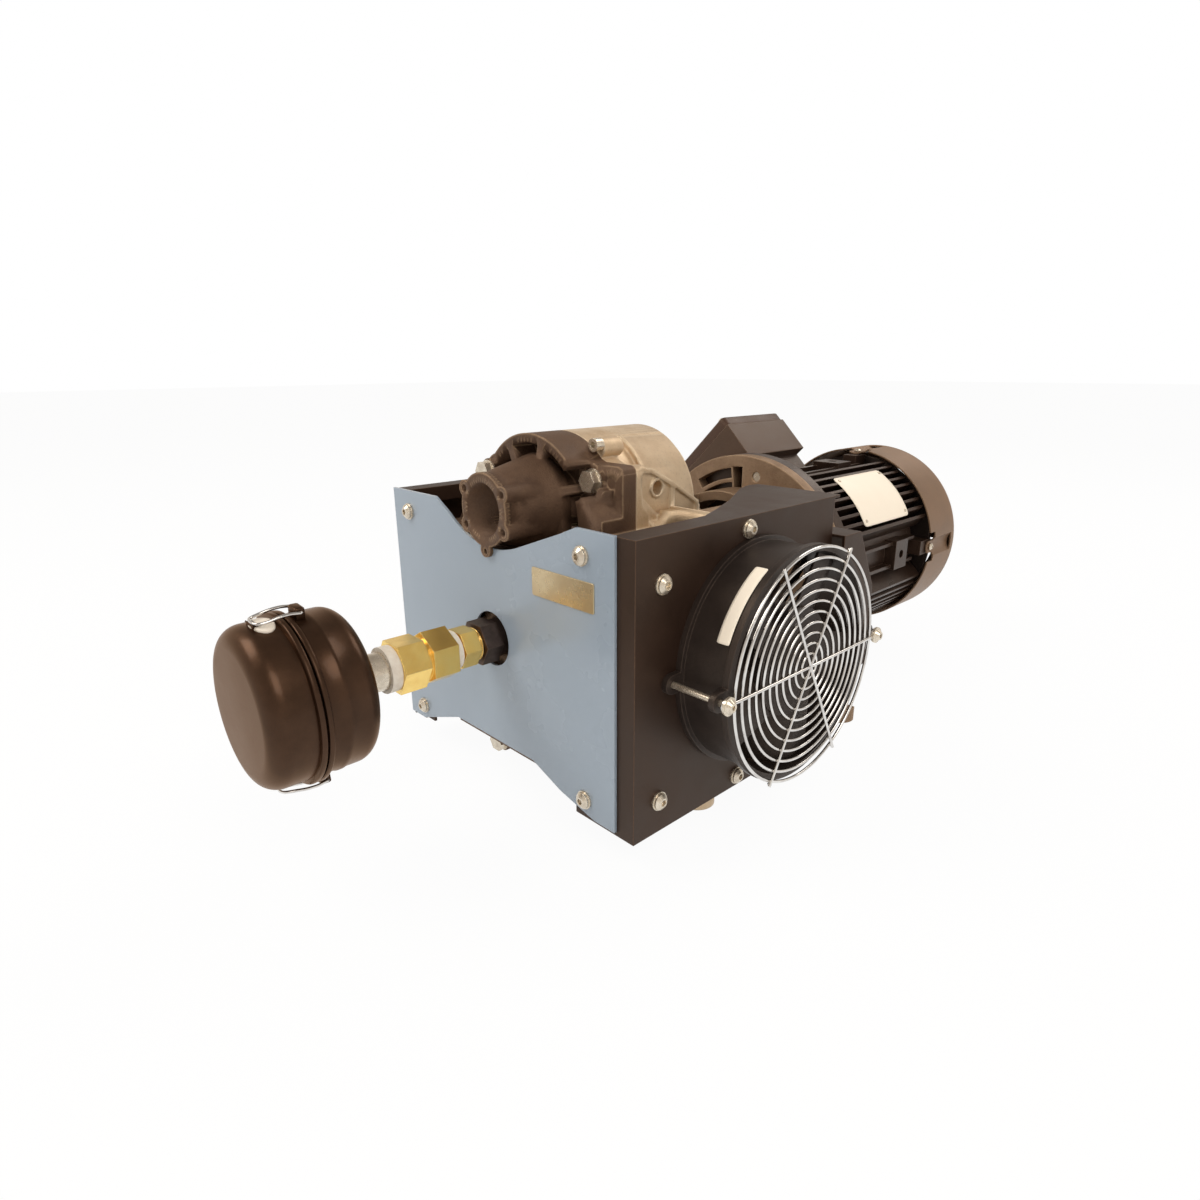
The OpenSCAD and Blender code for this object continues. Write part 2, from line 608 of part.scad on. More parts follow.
module center_housing() {
  y1 = joint_y + case_flange_t;
  barrel_end = wall_y - 8;
  cavity_r = barrel_r - cast_wall - 2;
  gusset_x = 70;
  color("#b9b1a4") difference() {
    union() {
      difference() {
        union() {
          face(joint_y, case_flange_t) case_outline();
          on_shaft(y1 - 1) cylinder(h = barrel_end - y1 + 1, r = barrel_r, $fn = 128);
          on_shaft(barrel_end) cylinder(h = adapter_y - barrel_end - 6, r1 = barrel_r, r2 = 84);
          on_shaft(wall_y + 3) cylinder(h = adapter_y - wall_y - 3, r = 84);
          on_shaft(y1 - 1, 0, shaft_h + hump_h) {
            cylinder(h = wall_y + 8 - y1, r = hump_r, $fn = 96);
            translate([0, 0, wall_y + 7 - y1]) cylinder(h = 3, r = hump_r - 9);
            translate([0, 0, wall_y + 9 - y1]) ring(5, hump_r - 4, hump_r - 14);
          }
          side(-gusset_x, 2 * gusset_x) polygon([[joint_y, shaft_h + 60],
            [joint_y, shaft_h + 113], [joint_y + 7, shaft_h + 115], [joint_y + 63, shaft_h + 84],
            [joint_y + 63, shaft_h + 60]]);
          for (a = [225, 315]) on_shaft(joint_y, about(aux_r, a)[0], about(aux_r, a)[1])
            cylinder(h = 40, r = 29);
          for (s = [-1, 1]) translate([s * 62 - 12, -foot_span_y / 2 - foot_r, 1.2])
            cube([24, 2 * foot_r, 44]);
        }
        on_shaft(joint_y - over) cylinder(h = wall_y - 12 - joint_y + over, r = cavity_r);
        on_shaft(wall_y - 12.001) cylinder(h = 12.001, r1 = cavity_r, r2 = cavity_r - 14);
        on_shaft(joint_y - over, 0, shaft_h + hump_h)
          cylinder(h = wall_y - joint_y - 1, r = hump_r - cast_wall);
        for (a = aux_angles) on_shaft(joint_y - over, about(aux_r, a)[0], about(aux_r, a)[1])
          cylinder(h = 36, r = 24);
        on_shaft(wall_y + 8) ring(20, 72, 48);
        // Recess with a raised rim on each gusset
        for (s = [-1, 1]) side(s > 0 ? gusset_x - 4 : -gusset_x - over, 4 + over)
          polygon([[joint_y + 6, shaft_h + 90], [joint_y + 4, shaft_h + 108],
            [joint_y + 8, shaft_h + 110], [joint_y + 57, shaft_h + 83],
            [joint_y + 57, shaft_h + 79], [joint_y + 16, shaft_h + 79]]);
      }
      on_shaft(front_bearing_y) cylinder(h = hub_rear_y - front_bearing_y + 2, r = 42);
      for (a = aux_angles) on_shaft(aux_post_y, about(aux_r, a)[0], about(aux_r, a)[1])
        cylinder(h = wall_y - aux_post_y + 1, r = 14);
      sheet_lugs([side_screws[2], side_screws[3]], 50, joint_y + 20);
      foot_bar(-foot_span_y / 2);
    }
    on_shaft(front_bearing_y - over) cylinder(h = bearing_w + over, r = front_bearing_r + fit);
    on_shaft(front_bearing_y) cylinder(h = 80, r = rear_bearing_r - 4);
    on_shaft(rear_bearing_y) cylinder(h = 80, r = rear_bearing_r + fit);
    for (a = aux_angles) on_shaft(aux_post_y - over, about(aux_r, a)[0], about(aux_r, a)[1])
      cylinder(h = 20 + over, r = aux_post_ring_r + fit);
    for (a = bolt_angles) on_shaft(joint_y - over, about(case_bolt_r, a)[0], about(case_bolt_r, a)[1])
      cylinder(h = case_flange_t + over - 0.5, r = case_bolt_d / 2 + play / 2);
    for (a = [45 : 90 : 315]) on_shaft(adapter_y - 12, about(78, a)[0], about(78, a)[1])
      cylinder(h = 20, r = 3 + play / 2);
    for (s = [-1, 1]) on_fan(s > 0 ? gusset_x - 22 : -gusset_x - over, joint_y + 19, shaft_h + 101)
      cylinder(h = 22 + over, r = 4);
    // Side windows for the cooling air
    for (s = [-1, 1]) translate([s > 0 ? 60 : -160, joint_y + 16, shaft_h - 24]) cube([100, 34, 56]);
    sheet_lug_holes([side_screws[2], side_screws[3]]);
    for (s = [-1, 1]) on_shaft(joint_y - 40, s * lug_x, shaft_h + lug_h + 6) cylinder(h = 60, r = 4);
  }
}

module crankshaft() color("gainsboro") {
  on_shaft(web_y - 21, orbit_e) cylinder(h = 22, r = pin_r);
  on_shaft(web_y) cylinder(h = web_t, r = 24);
  on_shaft(weight_y - over) cylinder(h = rear_bearing_y - 2 - weight_y + over, r = journal_r);
  on_shaft(rear_bearing_y - 3) cylinder(h = bearing_w + 6, r = rear_journal_r);
  on_shaft(rear_bearing_y) cylinder(h = 16 - rear_bearing_y, r = shaft_end_r);
}

module counterweight() color("#55595c") difference() {
  union() {
    on_shaft(weight_y) cylinder(h = weight_t, r = 25);
    intersection() {
      on_shaft(weight_y) cylinder(h = weight_t, r = 58);
      translate([-80, weight_y - over, shaft_h - 42]) cube([74, weight_t + 2 * over, 84]);
    }
  }
  on_shaft(weight_y - over) cylinder(h = weight_t + 2 * over, r = journal_r + fit);
}

// Bearings in the moving scroll's hub and ears
module scroll_bearings() color("silver") {
  on_shaft(orbit_back_y + 3, orbit_e) bearing(16, orbit_bearing_r, pin_r + run);
  for (a = aux_angles) on_shaft(aux_boss_y - 12, about(aux_r, a)[0] + orbit_e, about(aux_r, a)[1])
    bearing(11, aux_ring_r, aux_pin_r + run);
}
module main_bearings() color("silver") {
  on_shaft(front_bearing_y) bearing(bearing_w, front_bearing_r, journal_r + run);
  on_shaft(rear_bearing_y) bearing(bearing_w, rear_bearing_r, rear_journal_r + run);
}
module bearing_cap() color("#9a9a98") on_shaft(cap_y) ring(cap_t, front_bearing_r + 9, journal_r + 5);
module shaft_seal() color("#1b1b1b") on_shaft(cap_y)
  ring(cap_t, journal_r + 5 - fit, journal_r + run);

// Small crank that lets one ear of the moving scroll circle without turning
module small_crank(a) color("gainsboro") {
  p = about(aux_r, a);
  on_shaft(aux_web_y, p[0], p[1]) cylinder(h = aux_web_t, r = 10);
  on_shaft(aux_web_y, p[0] + orbit_e, p[1]) cylinder(h = aux_web_t, r = 8);
  on_shaft(aux_web_y, p[0], p[1]) cylinder(h = aux_web_t + 20, r = aux_post_r);
  on_shaft(aux_boss_y - 12, p[0] + orbit_e, p[1])
    cylinder(h = aux_web_y - aux_boss_y + 13, r = aux_pin_r);
}
module crank_top() small_crank(aux_angles[0]);
module crank_left() small_crank(aux_angles[1]);
module crank_right() small_crank(aux_angles[2]);

module crank_bearings() color("silver") for (a = aux_angles) {
  p = about(aux_r, a);
  on_shaft(aux_post_y + 0.5, p[0], p[1]) bearing(16, aux_post_ring_r, aux_post_r + run);
}

// Window in a ring, from one angle to another and between two radii, in x and z
module ring_window(r0, r1, a0, a1) polygon(concat(
  [for (a = [a0 : (a1 - a0) / 12 : a1 + 0.01]) about(r1, a)],
  [for (a = [a1 : (a0 - a1) / 12 : a0 - 0.01]) about(r0, a)]));

module motor_adapter() {
  bell_r = 72;
  bell_wall = 8;
  spigot_r = 65;
  color("#b0a595") difference() {
    union() {
      on_shaft(adapter_y) {
        cylinder(h = 10, r = 84);
        cylinder(h = flange_y - adapter_y, r = bell_r);
        translate([0, 0, flange_y - adapter_y - 11]) cylinder(h = 11, r = flange_r);
      }
      foot_bar(foot_span_y / 2);
      translate([-46, foot_span_y / 2 - foot_r, 1.2]) cube([92, foot_r + 4, 30]);
    }
    on_shaft(adapter_y - over) cylinder(h = 300, r = bell_r - bell_wall);
    on_shaft(flange_y - 5) cylinder(h = 60, r = spigot_r + play / 2);
    on_shaft(flange_y - 16) cylinder(h = 40, r = 60);
    for (a = [0 : 90 : 270]) {
      face(flange_y - 12, 20) ring_window(80, 89, a + 98, a + 124);
      face(flange_y - 12, 20) ring_window(66, 76.5, a + 98, a + 124);
      face(flange_y - 12, 20) ring_window(66, 90, a + 90, a + 97);
    }
    for (a = [90 : 90 : 360]) turned(a) translate([-26, adapter_y + 24, 40]) cube([52, 66, 60]);
    for (a = flange_bolt_angles)
      on_shaft(flange_y - 20, about(flange_bolt_place, a)[0], about(flange_bolt_place, a)[1])
        cylinder(h = 40, r = 4 + play);
    for (a = [45 : 90 : 315]) on_shaft(adapter_y - over, about(78, a)[0], about(78, a)[1])
      cylinder(h = 20, r = 3 + play);
    translate([-300, flange_y, -300]) cube([600, 60, 600]);
  }
}

module adapter_bolts() color("#2b2b2b") for (a = [45 : 90 : 315])
  on_shaft(adapter_y + 10, about(78, a)[0], about(78, a)[1]) {
    difference() {
      cylinder(h = 6, r = 5);
      translate([0, 0, 3]) hex(5, 5);
    }
    translate([0, 0, -20]) cylinder(h = 21, r = 3);
  }

// Jaws of one coupling half, from y along +Y
module jaws(y, turn) on_shaft(y) for (k = [0 : 2]) rotate([0, 0, turn + 120 * k])
  rotate_extrude(angle = 40) translate([12, 0]) square([13.5, jaw_l]);

module pump_hub() color("#7d7f82") difference() {
  union() {
    on_shaft(jaw_y - 22) cylinder(h = 22, r = 26);
    jaws(jaw_y - 0.5, -20);
  }
  on_shaft(jaw_y - 23) cylinder(h = 60, r = shaft_end_r + fit);
}
module coupling_spider() color("firebrick") on_shaft(jaw_y + 0.3) {
  ring(jaw_l - 0.6, 11.8, shaft_end_r + 0.6);
  for (k = [0 : 5]) rotate([0, 0, 60 * k + 20.5]) rotate_extrude(angle = 19)
    translate([11.5, 0]) square([14, jaw_l - 0.6]);
}
module motor_hub() color("#7d7f82") difference() {
  union() {
    on_shaft(jaw_y + jaw_l) cylinder(h = 30, r = 26);
    jaws(jaw_y + 0.5, 40);
  }
  on_shaft(jaw_y + jaw_l - 30) cylinder(h = 90, r = motor_shaft_r + fit);
}

module motor_flange() color("#1d1d1f") difference() {
  on_shaft(0) rotate_extrude() polygon([[motor_shaft_r + 1, flange_y - 3], [65, flange_y - 3],
    [65, flange_y], [flange_r, flange_y], [flange_r, flange_y + flange_t],
    [motor_r + 3, flange_y + flange_t], [motor_r + 3, frame_y], [motor_r - 5, frame_y],
    [motor_r - 5, frame_y - 7], [rear_bearing_r + fit, frame_y - 7],
    [rear_bearing_r + fit, frame_y - 23], [motor_shaft_r + 1, frame_y - 23]]);
  for (a = flange_bolt_angles)
    on_shaft(flange_y - over, about(flange_bolt_place, a)[0], about(flange_bolt_place, a)[1])
      cylinder(h = flange_t + 2 * over, r = 4 + play);
}

module flange_bolts() color("silver") for (a = flange_bolt_angles)
  on_shaft(flange_y + flange_t, about(flange_bolt_place, a)[0], about(flange_bolt_place, a)[1]) {
    hex(5, 13);
    translate([0, 0, -flange_t - 10]) cylinder(h = flange_t + 11, r = 4);
  }

module motor_frame() {
  tip = fin_r;
  pitch = 8.6;
  half = (motor_fins - 1) / 2;
  color("#19191b") difference() {
    union() {
      on_shaft(frame_y) cylinder(h = motor_l, r = motor_r, $fn = 96);
      intersection() {
        on_shaft(frame_y + 1) cylinder(h = cowl_y + 6 - frame_y - 1, r = tip, $fn = 96);
        for (a = [45, -45, 225]) turned(a) for (i = [-half : half])
          translate([i * pitch - 1.3, frame_y, motor_r - 22]) cube([2.6, motor_l + 40, 60]);
      }
      for (a = [0 : 90 : 270], y = [frame_y + 14, frame_y + motor_l - 46]) turned(a)
        translate([-14, y, motor_r - 5]) cube([28, 24, pad_r - motor_r + 3]);
      for (a = [0 : 90 : 270], s = [-1, 1]) turned(a)
        translate([s * 11 - 1.5, frame_y + 2, motor_r - 5]) cube([3, motor_l - 3, 12]);
      turned(box_angle) translate([-box_half + 8, box_y0 + 4, motor_r - 25])
        cube([2 * box_half - 16, box_len - 8, pad_r - motor_r + 25]);
    }
    on_shaft(frame_y - over) cylinder(h = motor_l + 60, r = motor_r - 5 + fit);
    on_shaft(shield_y) cylinder(h = 60, r = motor_r + play);
    for (a = [0 : 90 : 270], y = [frame_y + 26, frame_y + motor_l - 34]) turned(a)
      translate([0, y, motor_r + 2]) cylinder(h = 20, r = 4);
    turned(box_angle) translate([0, box_y0 + box_len / 2, 50]) cylinder(h = 60, r = 12);
    for (x = [-1, 1], y = [-1, 1]) turned(box_angle)
      translate([x * (box_half - 14), box_y0 + box_len / 2 + y * (box_len / 2 - 12), motor_r + 5])
        cylinder(h = 20, r = 2 + play / 2);
  }
}

module stator_core() color("#6f6a66") on_shaft(stator_y) ring(stator_len, motor_r - 5, stator_bore);
module stator_winding() color("#b4622d") for (y = [stator_y - 15, stator_y + stator_len])
  on_shaft(y) ring(15, motor_r - 8, stator_bore + 4);

module motor_rotor() color("#8a8a8a") {
  core_y = stator_y + 3;
  on_shaft(0) rotate_extrude() polygon([[0, jaw_y + jaw_l + 4], [motor_shaft_r, jaw_y + jaw_l + 4],
    [motor_shaft_r, frame_y - 3], [14, frame_y - 3], [14, core_y], [stator_bore - 0.8, core_y],
    [stator_bore - 0.8, core_y + 90], [14, core_y + 90], [14, shield_y - 8],
    [motor_tail_r, shield_y - 8], [motor_tail_r, shield_y + 42], [0, shield_y + 42]]);
}

module motor_bearings() color("silver") {
  on_shaft(frame_y - 22.5) bearing(bearing_w, rear_bearing_r, motor_shaft_r + run);
  on_shaft(shield_y - 6) bearing(14, tail_bearing_r, motor_tail_r + run);
}

module rear_shield() color("#19191b") difference() {
  union() {
    on_shaft(0) rotate_extrude() polygon([[tail_bearing_r + fit, shield_y - 6],
      [30, shield_y - 6], [30, shield_y], [motor_r, shield_y], [motor_r, shield_y + 8],
      [30, shield_y + 8], [30, shield_y + 13], [motor_tail_r + 0.5, shield_y + 13],
      [motor_tail_r + 0.5, shield_y + 8.5], [tail_bearing_r + fit, shield_y + 8.5]]);
    for (a = [0 : 90 : 270]) turned(a) translate([-7, shield_y, motor_r - 6])
      cube([14, 19, groove_place - groove_r - cowl_wall - motor_r + 6 - 0.3]);
  }
  for (a = [0 : 90 : 270]) turned(a) translate([0, cowl_y + 6, motor_r - 2])
    cylinder(h = 40, r = 2 + play / 2);
}

module motor_fan() color("#2d2d30") difference() {
  union() {
    on_shaft(shield_y + 22) cylinder(h = 22, r = 18);
    on_shaft(shield_y + 22) cylinder(h = 3, r = motor_fan_r, $fn = 96);
    for (k = [0 : 6]) turned(k * 360 / 7) translate([-1.5, shield_y + 22, 16])
      cube([3, 22, motor_fan_r - 18]);
  }
  on_shaft(shield_y + 21) cylinder(h = 40, r = motor_tail_r + fit);
}

// Cowl's solid form at a wall depth: rounded rear edge and four grooves along it
module cowl_form(inset) difference() {
  union() {
    on_shaft(cowl_y - over * (inset > 0 ? 1 : 0))
      cylinder(h = cowl_l - 12 + (inset > 0 ? over : 0), r = cowl_r - inset, $fn = 96);
    on_shaft(cowl_end_y - 12.001) cylinder(h = 12 - inset, r = cowl_r - 12);
    on_shaft(cowl_end_y - 12) rotate_extrude() translate([cowl_r - 12, 0]) intersection() {
      circle(r = 12 - inset);
      square(20);
    }
  }
  for (a = [0 : 90 : 270]) turned(a) translate([0, cowl_y - 2 * over, groove_place])
    rotate([-90, 0, 0]) cylinder(h = cowl_l - 14, r = groove_r + inset);
}

module fan_cowl() {
  color("#3a3431") difference() {
    cowl_form(0);
    cowl_form(cowl_wall);
    for (a = [0 : 90 : 270]) turned(a) {
      translate([-15, cowl_y - over, 60]) cube([9, 10 + over, 60]);
      translate([6, cowl_y - over, 60]) cube([9, 10 + over, 60]);
      translate([0, cowl_y + 6, 60]) cylinder(h = 60, r = 2.5);
    }
    for (k = [0 : 4]) difference() {
      on_shaft(cowl_end_y - 3) ring(6, 21 + 12 * k, 14 + 12 * k);
      for (a = [0 : 60 : 300]) turned(a) translate([-3, cowl_end_y - 5, 0]) cube([6, 10, 90]);
    }
  }
}

module terminal_box() color("#3a3735") turned(box_angle) difference() {
  union() {
    difference() {
      translate([-box_half, box_y0, box_low]) cube([2 * box_half, box_len, box_h]);
      translate([-box_half + 3, box_y0 + 3, box_low + 3])
        cube([2 * box_half - 6, box_len - 6, box_h]);
    }
    for (x = [-1, 1], y = [0, 1])
      translate([x * (box_half - 7), box_y0 + 7 + y * (box_len - 14), box_low])
        cylinder(h = box_h, r = 5.5);
  }
  translate([0, box_y0 + box_len / 2, box_low - over]) cylinder(h = 20, r = 12);
  for (x = [-1, 1], y = [0, 1])
    translate([x * (box_half - 7), box_y0 + 7 + y * (box_len - 14), pad_r + box_h - 14])
      cylinder(h = 20, r = 2 + play / 2);
  translate([-box_half - over, box_y0 + box_len / 2, pad_r + box_h / 2]) rotate([0, 90, 0])
    cylinder(h = 10, r = 8);
}

module terminal_lid() color("#45413e") turned(box_angle) difference() {
  translate([-box_half, box_y0, pad_r + box_h + 0.1]) cube([2 * box_half, box_len, 9.9]);
  translate([-box_half + 16, box_y0 + 16, pad_r + box_h]) cube([2 * box_half - 32, box_len - 32, 7]);
  for (x = [-1, 1], y = [0, 1])
    translate([x * (box_half - 7), box_y0 + 7 + y * (box_len - 14), pad_r + box_h - over])
      cylinder(h = 20, r = 2 + play);
}

// Screws of the cowl and of the terminal box's lid
module motor_screws() color("silver") {
  for (a = [0 : 90 : 270]) turned(a)
    translate([0, cowl_y + 6, groove_place - groove_r + 1]) button_screw(4, 12);
  turned(box_angle) for (x = [-1, 1], y = [0, 1])
    translate([x * (box_half - 7), box_y0 + 7 + y * (box_len - 14), pad_r + box_h + 10])
      button_screw(4, 20);
}

module terminal_block() color("#6b2b1f") turned(box_angle) {
  for (y = [-22, 22]) translate([-26, box_y0 + box_len / 2 + y - 6, box_low + 3]) cube([52, 12, 12]);
  for (x = [-16, 0, 16], y = [-22, 22]) translate([x, box_y0 + box_len / 2 + y, pad_r + 14])
    cylinder(h = 8, r = 2);
}

module cable_gland() color("#1b1b1b") turned(box_angle)
  translate([-box_half, box_y0 + box_len / 2, pad_r + box_h / 2]) rotate([0, -90, 0]) difference() {
    union() {
      translate([0, 0, -6]) cylinder(h = 7, r = 8 - play);
      hex(6, 22);
      translate([0, 0, 5]) cylinder(h = 10, r = 10);
      translate([0, 0, 14]) cylinder(h = 6, r1 = 10, r2 = 7);
    }
    translate([0, 0, -10]) cylinder(h = 40, r = 4.5);
  }

module fan_housing() {
  flange = 4;
  ear = 6;
  color("#1e1c1c") difference() {
    union() {
      on_fan(fan_x) cylinder(h = fan_depth, r = fan_r - 3, $fn = 96);
      for (x = [fan_x, fan_tip_x - flange]) on_fan(x) {
        cylinder(h = flange, r = fan_r, $fn = 96);
        for (s = [-1, 1]) {
          translate([0, s * fan_screw_span / 2, 0]) cylinder(h = flange, r = ear);
          translate([-ear, s * (fan_screw_span / 2 - 14) - 14, 0])
            cube([2 * ear, 28 * (1), flange]);
        }
      }
    }
    difference() {
      on_fan(fan_x - over) cylinder(h = fan_depth + 2 * over, r = duct_r, $fn = 96);
      on_fan(fan_x) {
        cylinder(h = 17, r = 30);
        for (a = [45 : 90 : 315]) rotate([0, 0, a]) translate([0, -3, 0]) cube([100, 6, 4]);
      }
    }
    on_fan(fan_x - 2 * over) cylinder(h = 60, r = 3);
    for (s = [-1, 1]) on_fan(fan_x - over, fan_y + s * fan_screw_span / 2)
      cylinder(h = fan_depth + 2 * over, r = 2.2);
  }
}

module fan_impeller() color("#151515") {
  on_fan(fan_x + 6) difference() {
    cylinder(h = 26, r = 35);
    translate([0, 0, -over]) cylinder(h = 23 + over, r = 31);
  }
  on_fan(fan_x + 2) cylinder(h = 28, r = 3 - run);
  // Each blade is a slice of a tube that lies along its radius
  intersection() {
    on_fan(fan_x + 7) ring(24, blade_r, 34);
    on_fan(fan_x) for (k = [0 : fan_blades - 1]) rotate([0, 0, k * 360 / fan_blades]) difference() {
      translate([30, 16, -14]) rotate([0, 90, 0]) cylinder(h = 50, r = 46);
      translate([29, 16, -14]) rotate([0, 90, 0]) cylinder(h = 52, r = 43.6);
      translate([28, 22, -100]) cube([60, 60, 200]);
    }
  }
}

module fan_guard() {
  w = guard_wire_d / 2;
  r_out = fan_r - 1;
  step = (r_out - 8) / (guard_rings - 1);
  color("#d8d8dc") {
    on_fan(guard_x + 2 * w - 0.3) for (i = [0 : guard_rings - 1])
      rotate_extrude() translate([8 + step * i, 0]) circle(r = w, $fn = 8);
    for (a = [62, 118]) on_fan(guard_x) rotate([0, 0, a + 90]) translate([-r_out, 0, 0])
      rotate([0, 90, 0]) cylinder(h = 2 * r_out, r = w, $fn = 8);
    translate([guard_x, fan_y, shaft_h]) rotate([-90, 0, 0])
      translate([0, 0, 4 - fan_screw_span / 2]) cylinder(h = fan_screw_span - 8, r = w, $fn = 8);
    for (s = [-1, 1]) on_fan(guard_x, fan_y + s * fan_screw_span / 2)
      rotate_extrude() translate([3.6, 0]) circle(r = w, $fn = 8);
  }
}

module guard_screws() color("silver") for (s = [-1, 1]) {
  y = fan_y + s * fan_screw_span / 2;
  on_fan(guard_x + guard_wire_d / 2, y) difference() {
    union() {
      cylinder(h = 1.6, r = 5.4);
      translate([0, 0, 1.6]) cylinder(h = 2.6, r1 = 4.4, r2 = 2.6);
    }
    translate([0, 0, 2.4]) hex(4, 2.6);
  }
  on_fan(shroud_x - sheet_t - 10, y) cylinder(h = guard_x + 10 - shroud_x + sheet_t, r = 2);
  on_fan(shroud_x - sheet_t - 5, y) difference() {
    hex(5, 8);
    translate([0, 0, -over]) cylinder(h = 8, r = 2 + fit);
  }
}

module outlet_bushing() color("#26272a") difference() {
  union() {
    on_shaft(bushing_front_y) hex(13, 27);
    on_shaft(bushing_front_y + 12) cylinder(h = 22, r = 13);
  }
  on_shaft(bushing_front_y - over) cylinder(h = 14, r = thread_r + play / 2);
  on_shaft(bushing_front_y - over) cylinder(h = 60, r = 7);
}

module brass_adapter() color("#c9a24a") difference() {
  union() {
    on_shaft(adapter_hex_y - 12) hex(12, 24);
    on_shaft(valve_end_y - 6) cylinder(h = bushing_front_y - valve_end_y + 16, r = thread_r);
  }
  on_shaft(valve_end_y - 10) cylinder(h = 60, r = 7);
}

module valve_body() color("#c9a24a") difference() {
  union() {
    on_shaft(valve_front_y) cylinder(h = valve_l, r = valve_flats / 2 - 1.5);
    on_shaft(valve_front_y) hex(valve_hex, valve_flats);
    on_shaft(valve_end_y - valve_hex) rotate([0, 0, 30]) hex(valve_hex, valve_flats);
  }
  on_shaft(valve_end_y - 6.2) cylinder(h = 20, r = thread_r + play / 2);
  on_shaft(valve_front_y - over) cylinder(h = valve_l + 4, r = 7.5);
  on_shaft(valve_front_y - over) cylinder(h = valve_seat_y - valve_front_y + over, r = 11.2);
  on_shaft(valve_front_y - over) cylinder(h = 10 + over, r = pipe_d / 2 + play / 2);
}

// Guide for the poppet's stem, and the two white sealing rings
module valve_inside() color("#e8e4da") {
  on_shaft(retainer_y) difference() {
    cylinder(h = retainer_t, r = 11.1);
    translate([0, 0, -over]) cylinder(h = 8, r = 2.6);
    for (a = [0 : 90 : 270]) rotate([0, 0, a]) translate([6.8, 0, -over]) cylinder(h = 8, r = 2.6);
  }
  on_shaft(valve_end_y + 0.1) ring(5.2, thread_r + 2.3, thread_r + play / 2);
  on_shaft(valve_front_y - 6.9) ring(6.8, pipe_d / 2 + 2.6, pipe_d / 2 + play / 2);
}

module valve_poppet() color("#b98f3c") on_shaft(valve_seat_y - 0.3) {
  translate([0, 0, -3.2]) cylinder(h = 3.2, r = 9.5);
  translate([0, 0, -18]) cylinder(h = 16, r = 2.5);
}

// Closed tube of radius r along a list of points that wind about the z axis
module tube(points, r, n) {
  m = len(points);
  ring_points = [for (i = [0 : m - 1]) let (
      a = points[max(i - 1, 0)], b = points[min(i + 1, m - 1)], d = (b - a) / norm(b - a),
      u = cross(d, [0, 0, 1]) / norm(cross(d, [0, 0, 1])), v = cross(d, u))
    for (k = [0 : n - 1]) points[i] + r * (cos(360 * k / n) * u + sin(360 * k / n) * v)];
  sides = [for (i = [0 : m - 2], k = [0 : n - 1]) let (k2 = (k + 1) % n)
    each [[i * n + k, i * n + k2, (i + 1) * n + k2], [i * n + k, (i + 1) * n + k2, (i + 1) * n + k]]];
  ends = [[for (k = [n - 1 : -1 : 0]) k], [for (k = [0 : n - 1]) (m - 1) * n + k]];
  polyhedron(points = ring_points, faces = concat(sides, ends), convexity = 8);
}

module valve_spring() {
  turns = 4;
  l = (valve_seat_y - 3.5) - (retainer_y + retainer_t) - 1.9;
  color("silver") on_shaft(retainer_y + retainer_t + 0.8)
    tube([for (i = [0 : turns * 12]) [5.2 * cos(30 * i), 5.2 * sin(30 * i), l * i / (turns * 12)]],
      0.6, 6);
}

module pipe_nipple() color("#c8cbd0") on_shaft(can_y - 6)
  ring(valve_front_y + 9.5 - can_y + 6, pipe_d / 2, pipe_d / 2 - 3);

module canister_base() color("#141311") difference() {
  union() {
    canister_base_shell();
    // Ears that hold the clips' pivots
    for (a = clip_angles) turned(a) translate([-5, clip_y - 3, can_r - 0.8]) cube([10, 6, 7.5]);
  }
  for (a = clip_angles) turned(a) translate([-8, clip_y, clip_pivot_r]) rotate([0, 90, 0])
    cylinder(h = 16, r = clip_wire_r + run);
}

module canister_base_shell() on_shaft(0) rotate_extrude() polygon([
  [pipe_d / 2 + play / 2, can_y], [can_r - 8, can_y], [can_r - 4.5, can_y - 1], [can_r - 1.5, can_y - 3.5],
  [can_r, can_y - 8], [can_r, can_seam_y + 3.4], [bead_r, can_seam_y + 3.1], [bead_r, can_seam_y + 0.4],
  [can_r - can_wall, can_seam_y + 0.4], [can_r - can_wall, can_y - 8], [can_r - 2.6, can_y - 4.6],
  [can_r - 5, can_y - 2.4], [can_r - 8, can_y - can_wall], [22, can_y - can_wall], [22, can_y - 8],
  [pipe_d / 2 + play / 2, can_y - 8]]);

module canister_cap() {
  corner = 11;
  color("#141311") on_shaft(0) rotate_extrude() polygon(concat(
    [[can_r - can_wall, can_seam_y - 0.4], [bead_r, can_seam_y - 0.4], [bead_r, can_seam_y - 3.1],
      [can_r, can_seam_y - 3.4]],
    [for (a = [0 : 15 : 90]) [can_r - corner + corner * cos(a), can_front_y + corner - corner * sin(a)]],
    [[0, can_front_y], [0, can_front_y + can_wall]],
    [for (a = [90 : -15 : 0]) [can_r - corner + (corner - can_wall) * cos(a),
      can_front_y + corner - (corner - can_wall) * sin(a)]]));
  // Ears of the clips' pivots and the pads that the clips close on
  color("silver") for (a = clip_angles) turned(a) {
    translate([-5, can_seam_y - clip_reach + 4, can_r - 0.6]) cube([10, 11, 2.1]);
    translate([-5, can_seam_y - clip_reach + 4, can_r - 0.6]) cube([10, 1.6, 4.4]);
  }
}

module filter_element() color("#d9d2bd") {
  y0 = can_front_y + can_wall + 0.3;
  on_shaft(y0) ring(4, can_r - 12, can_r - 28);
  on_shaft(y0 + 3) ring(can_y - can_wall - 0.3 - y0 - 3, can_r - 8, can_r - 22.5);
}

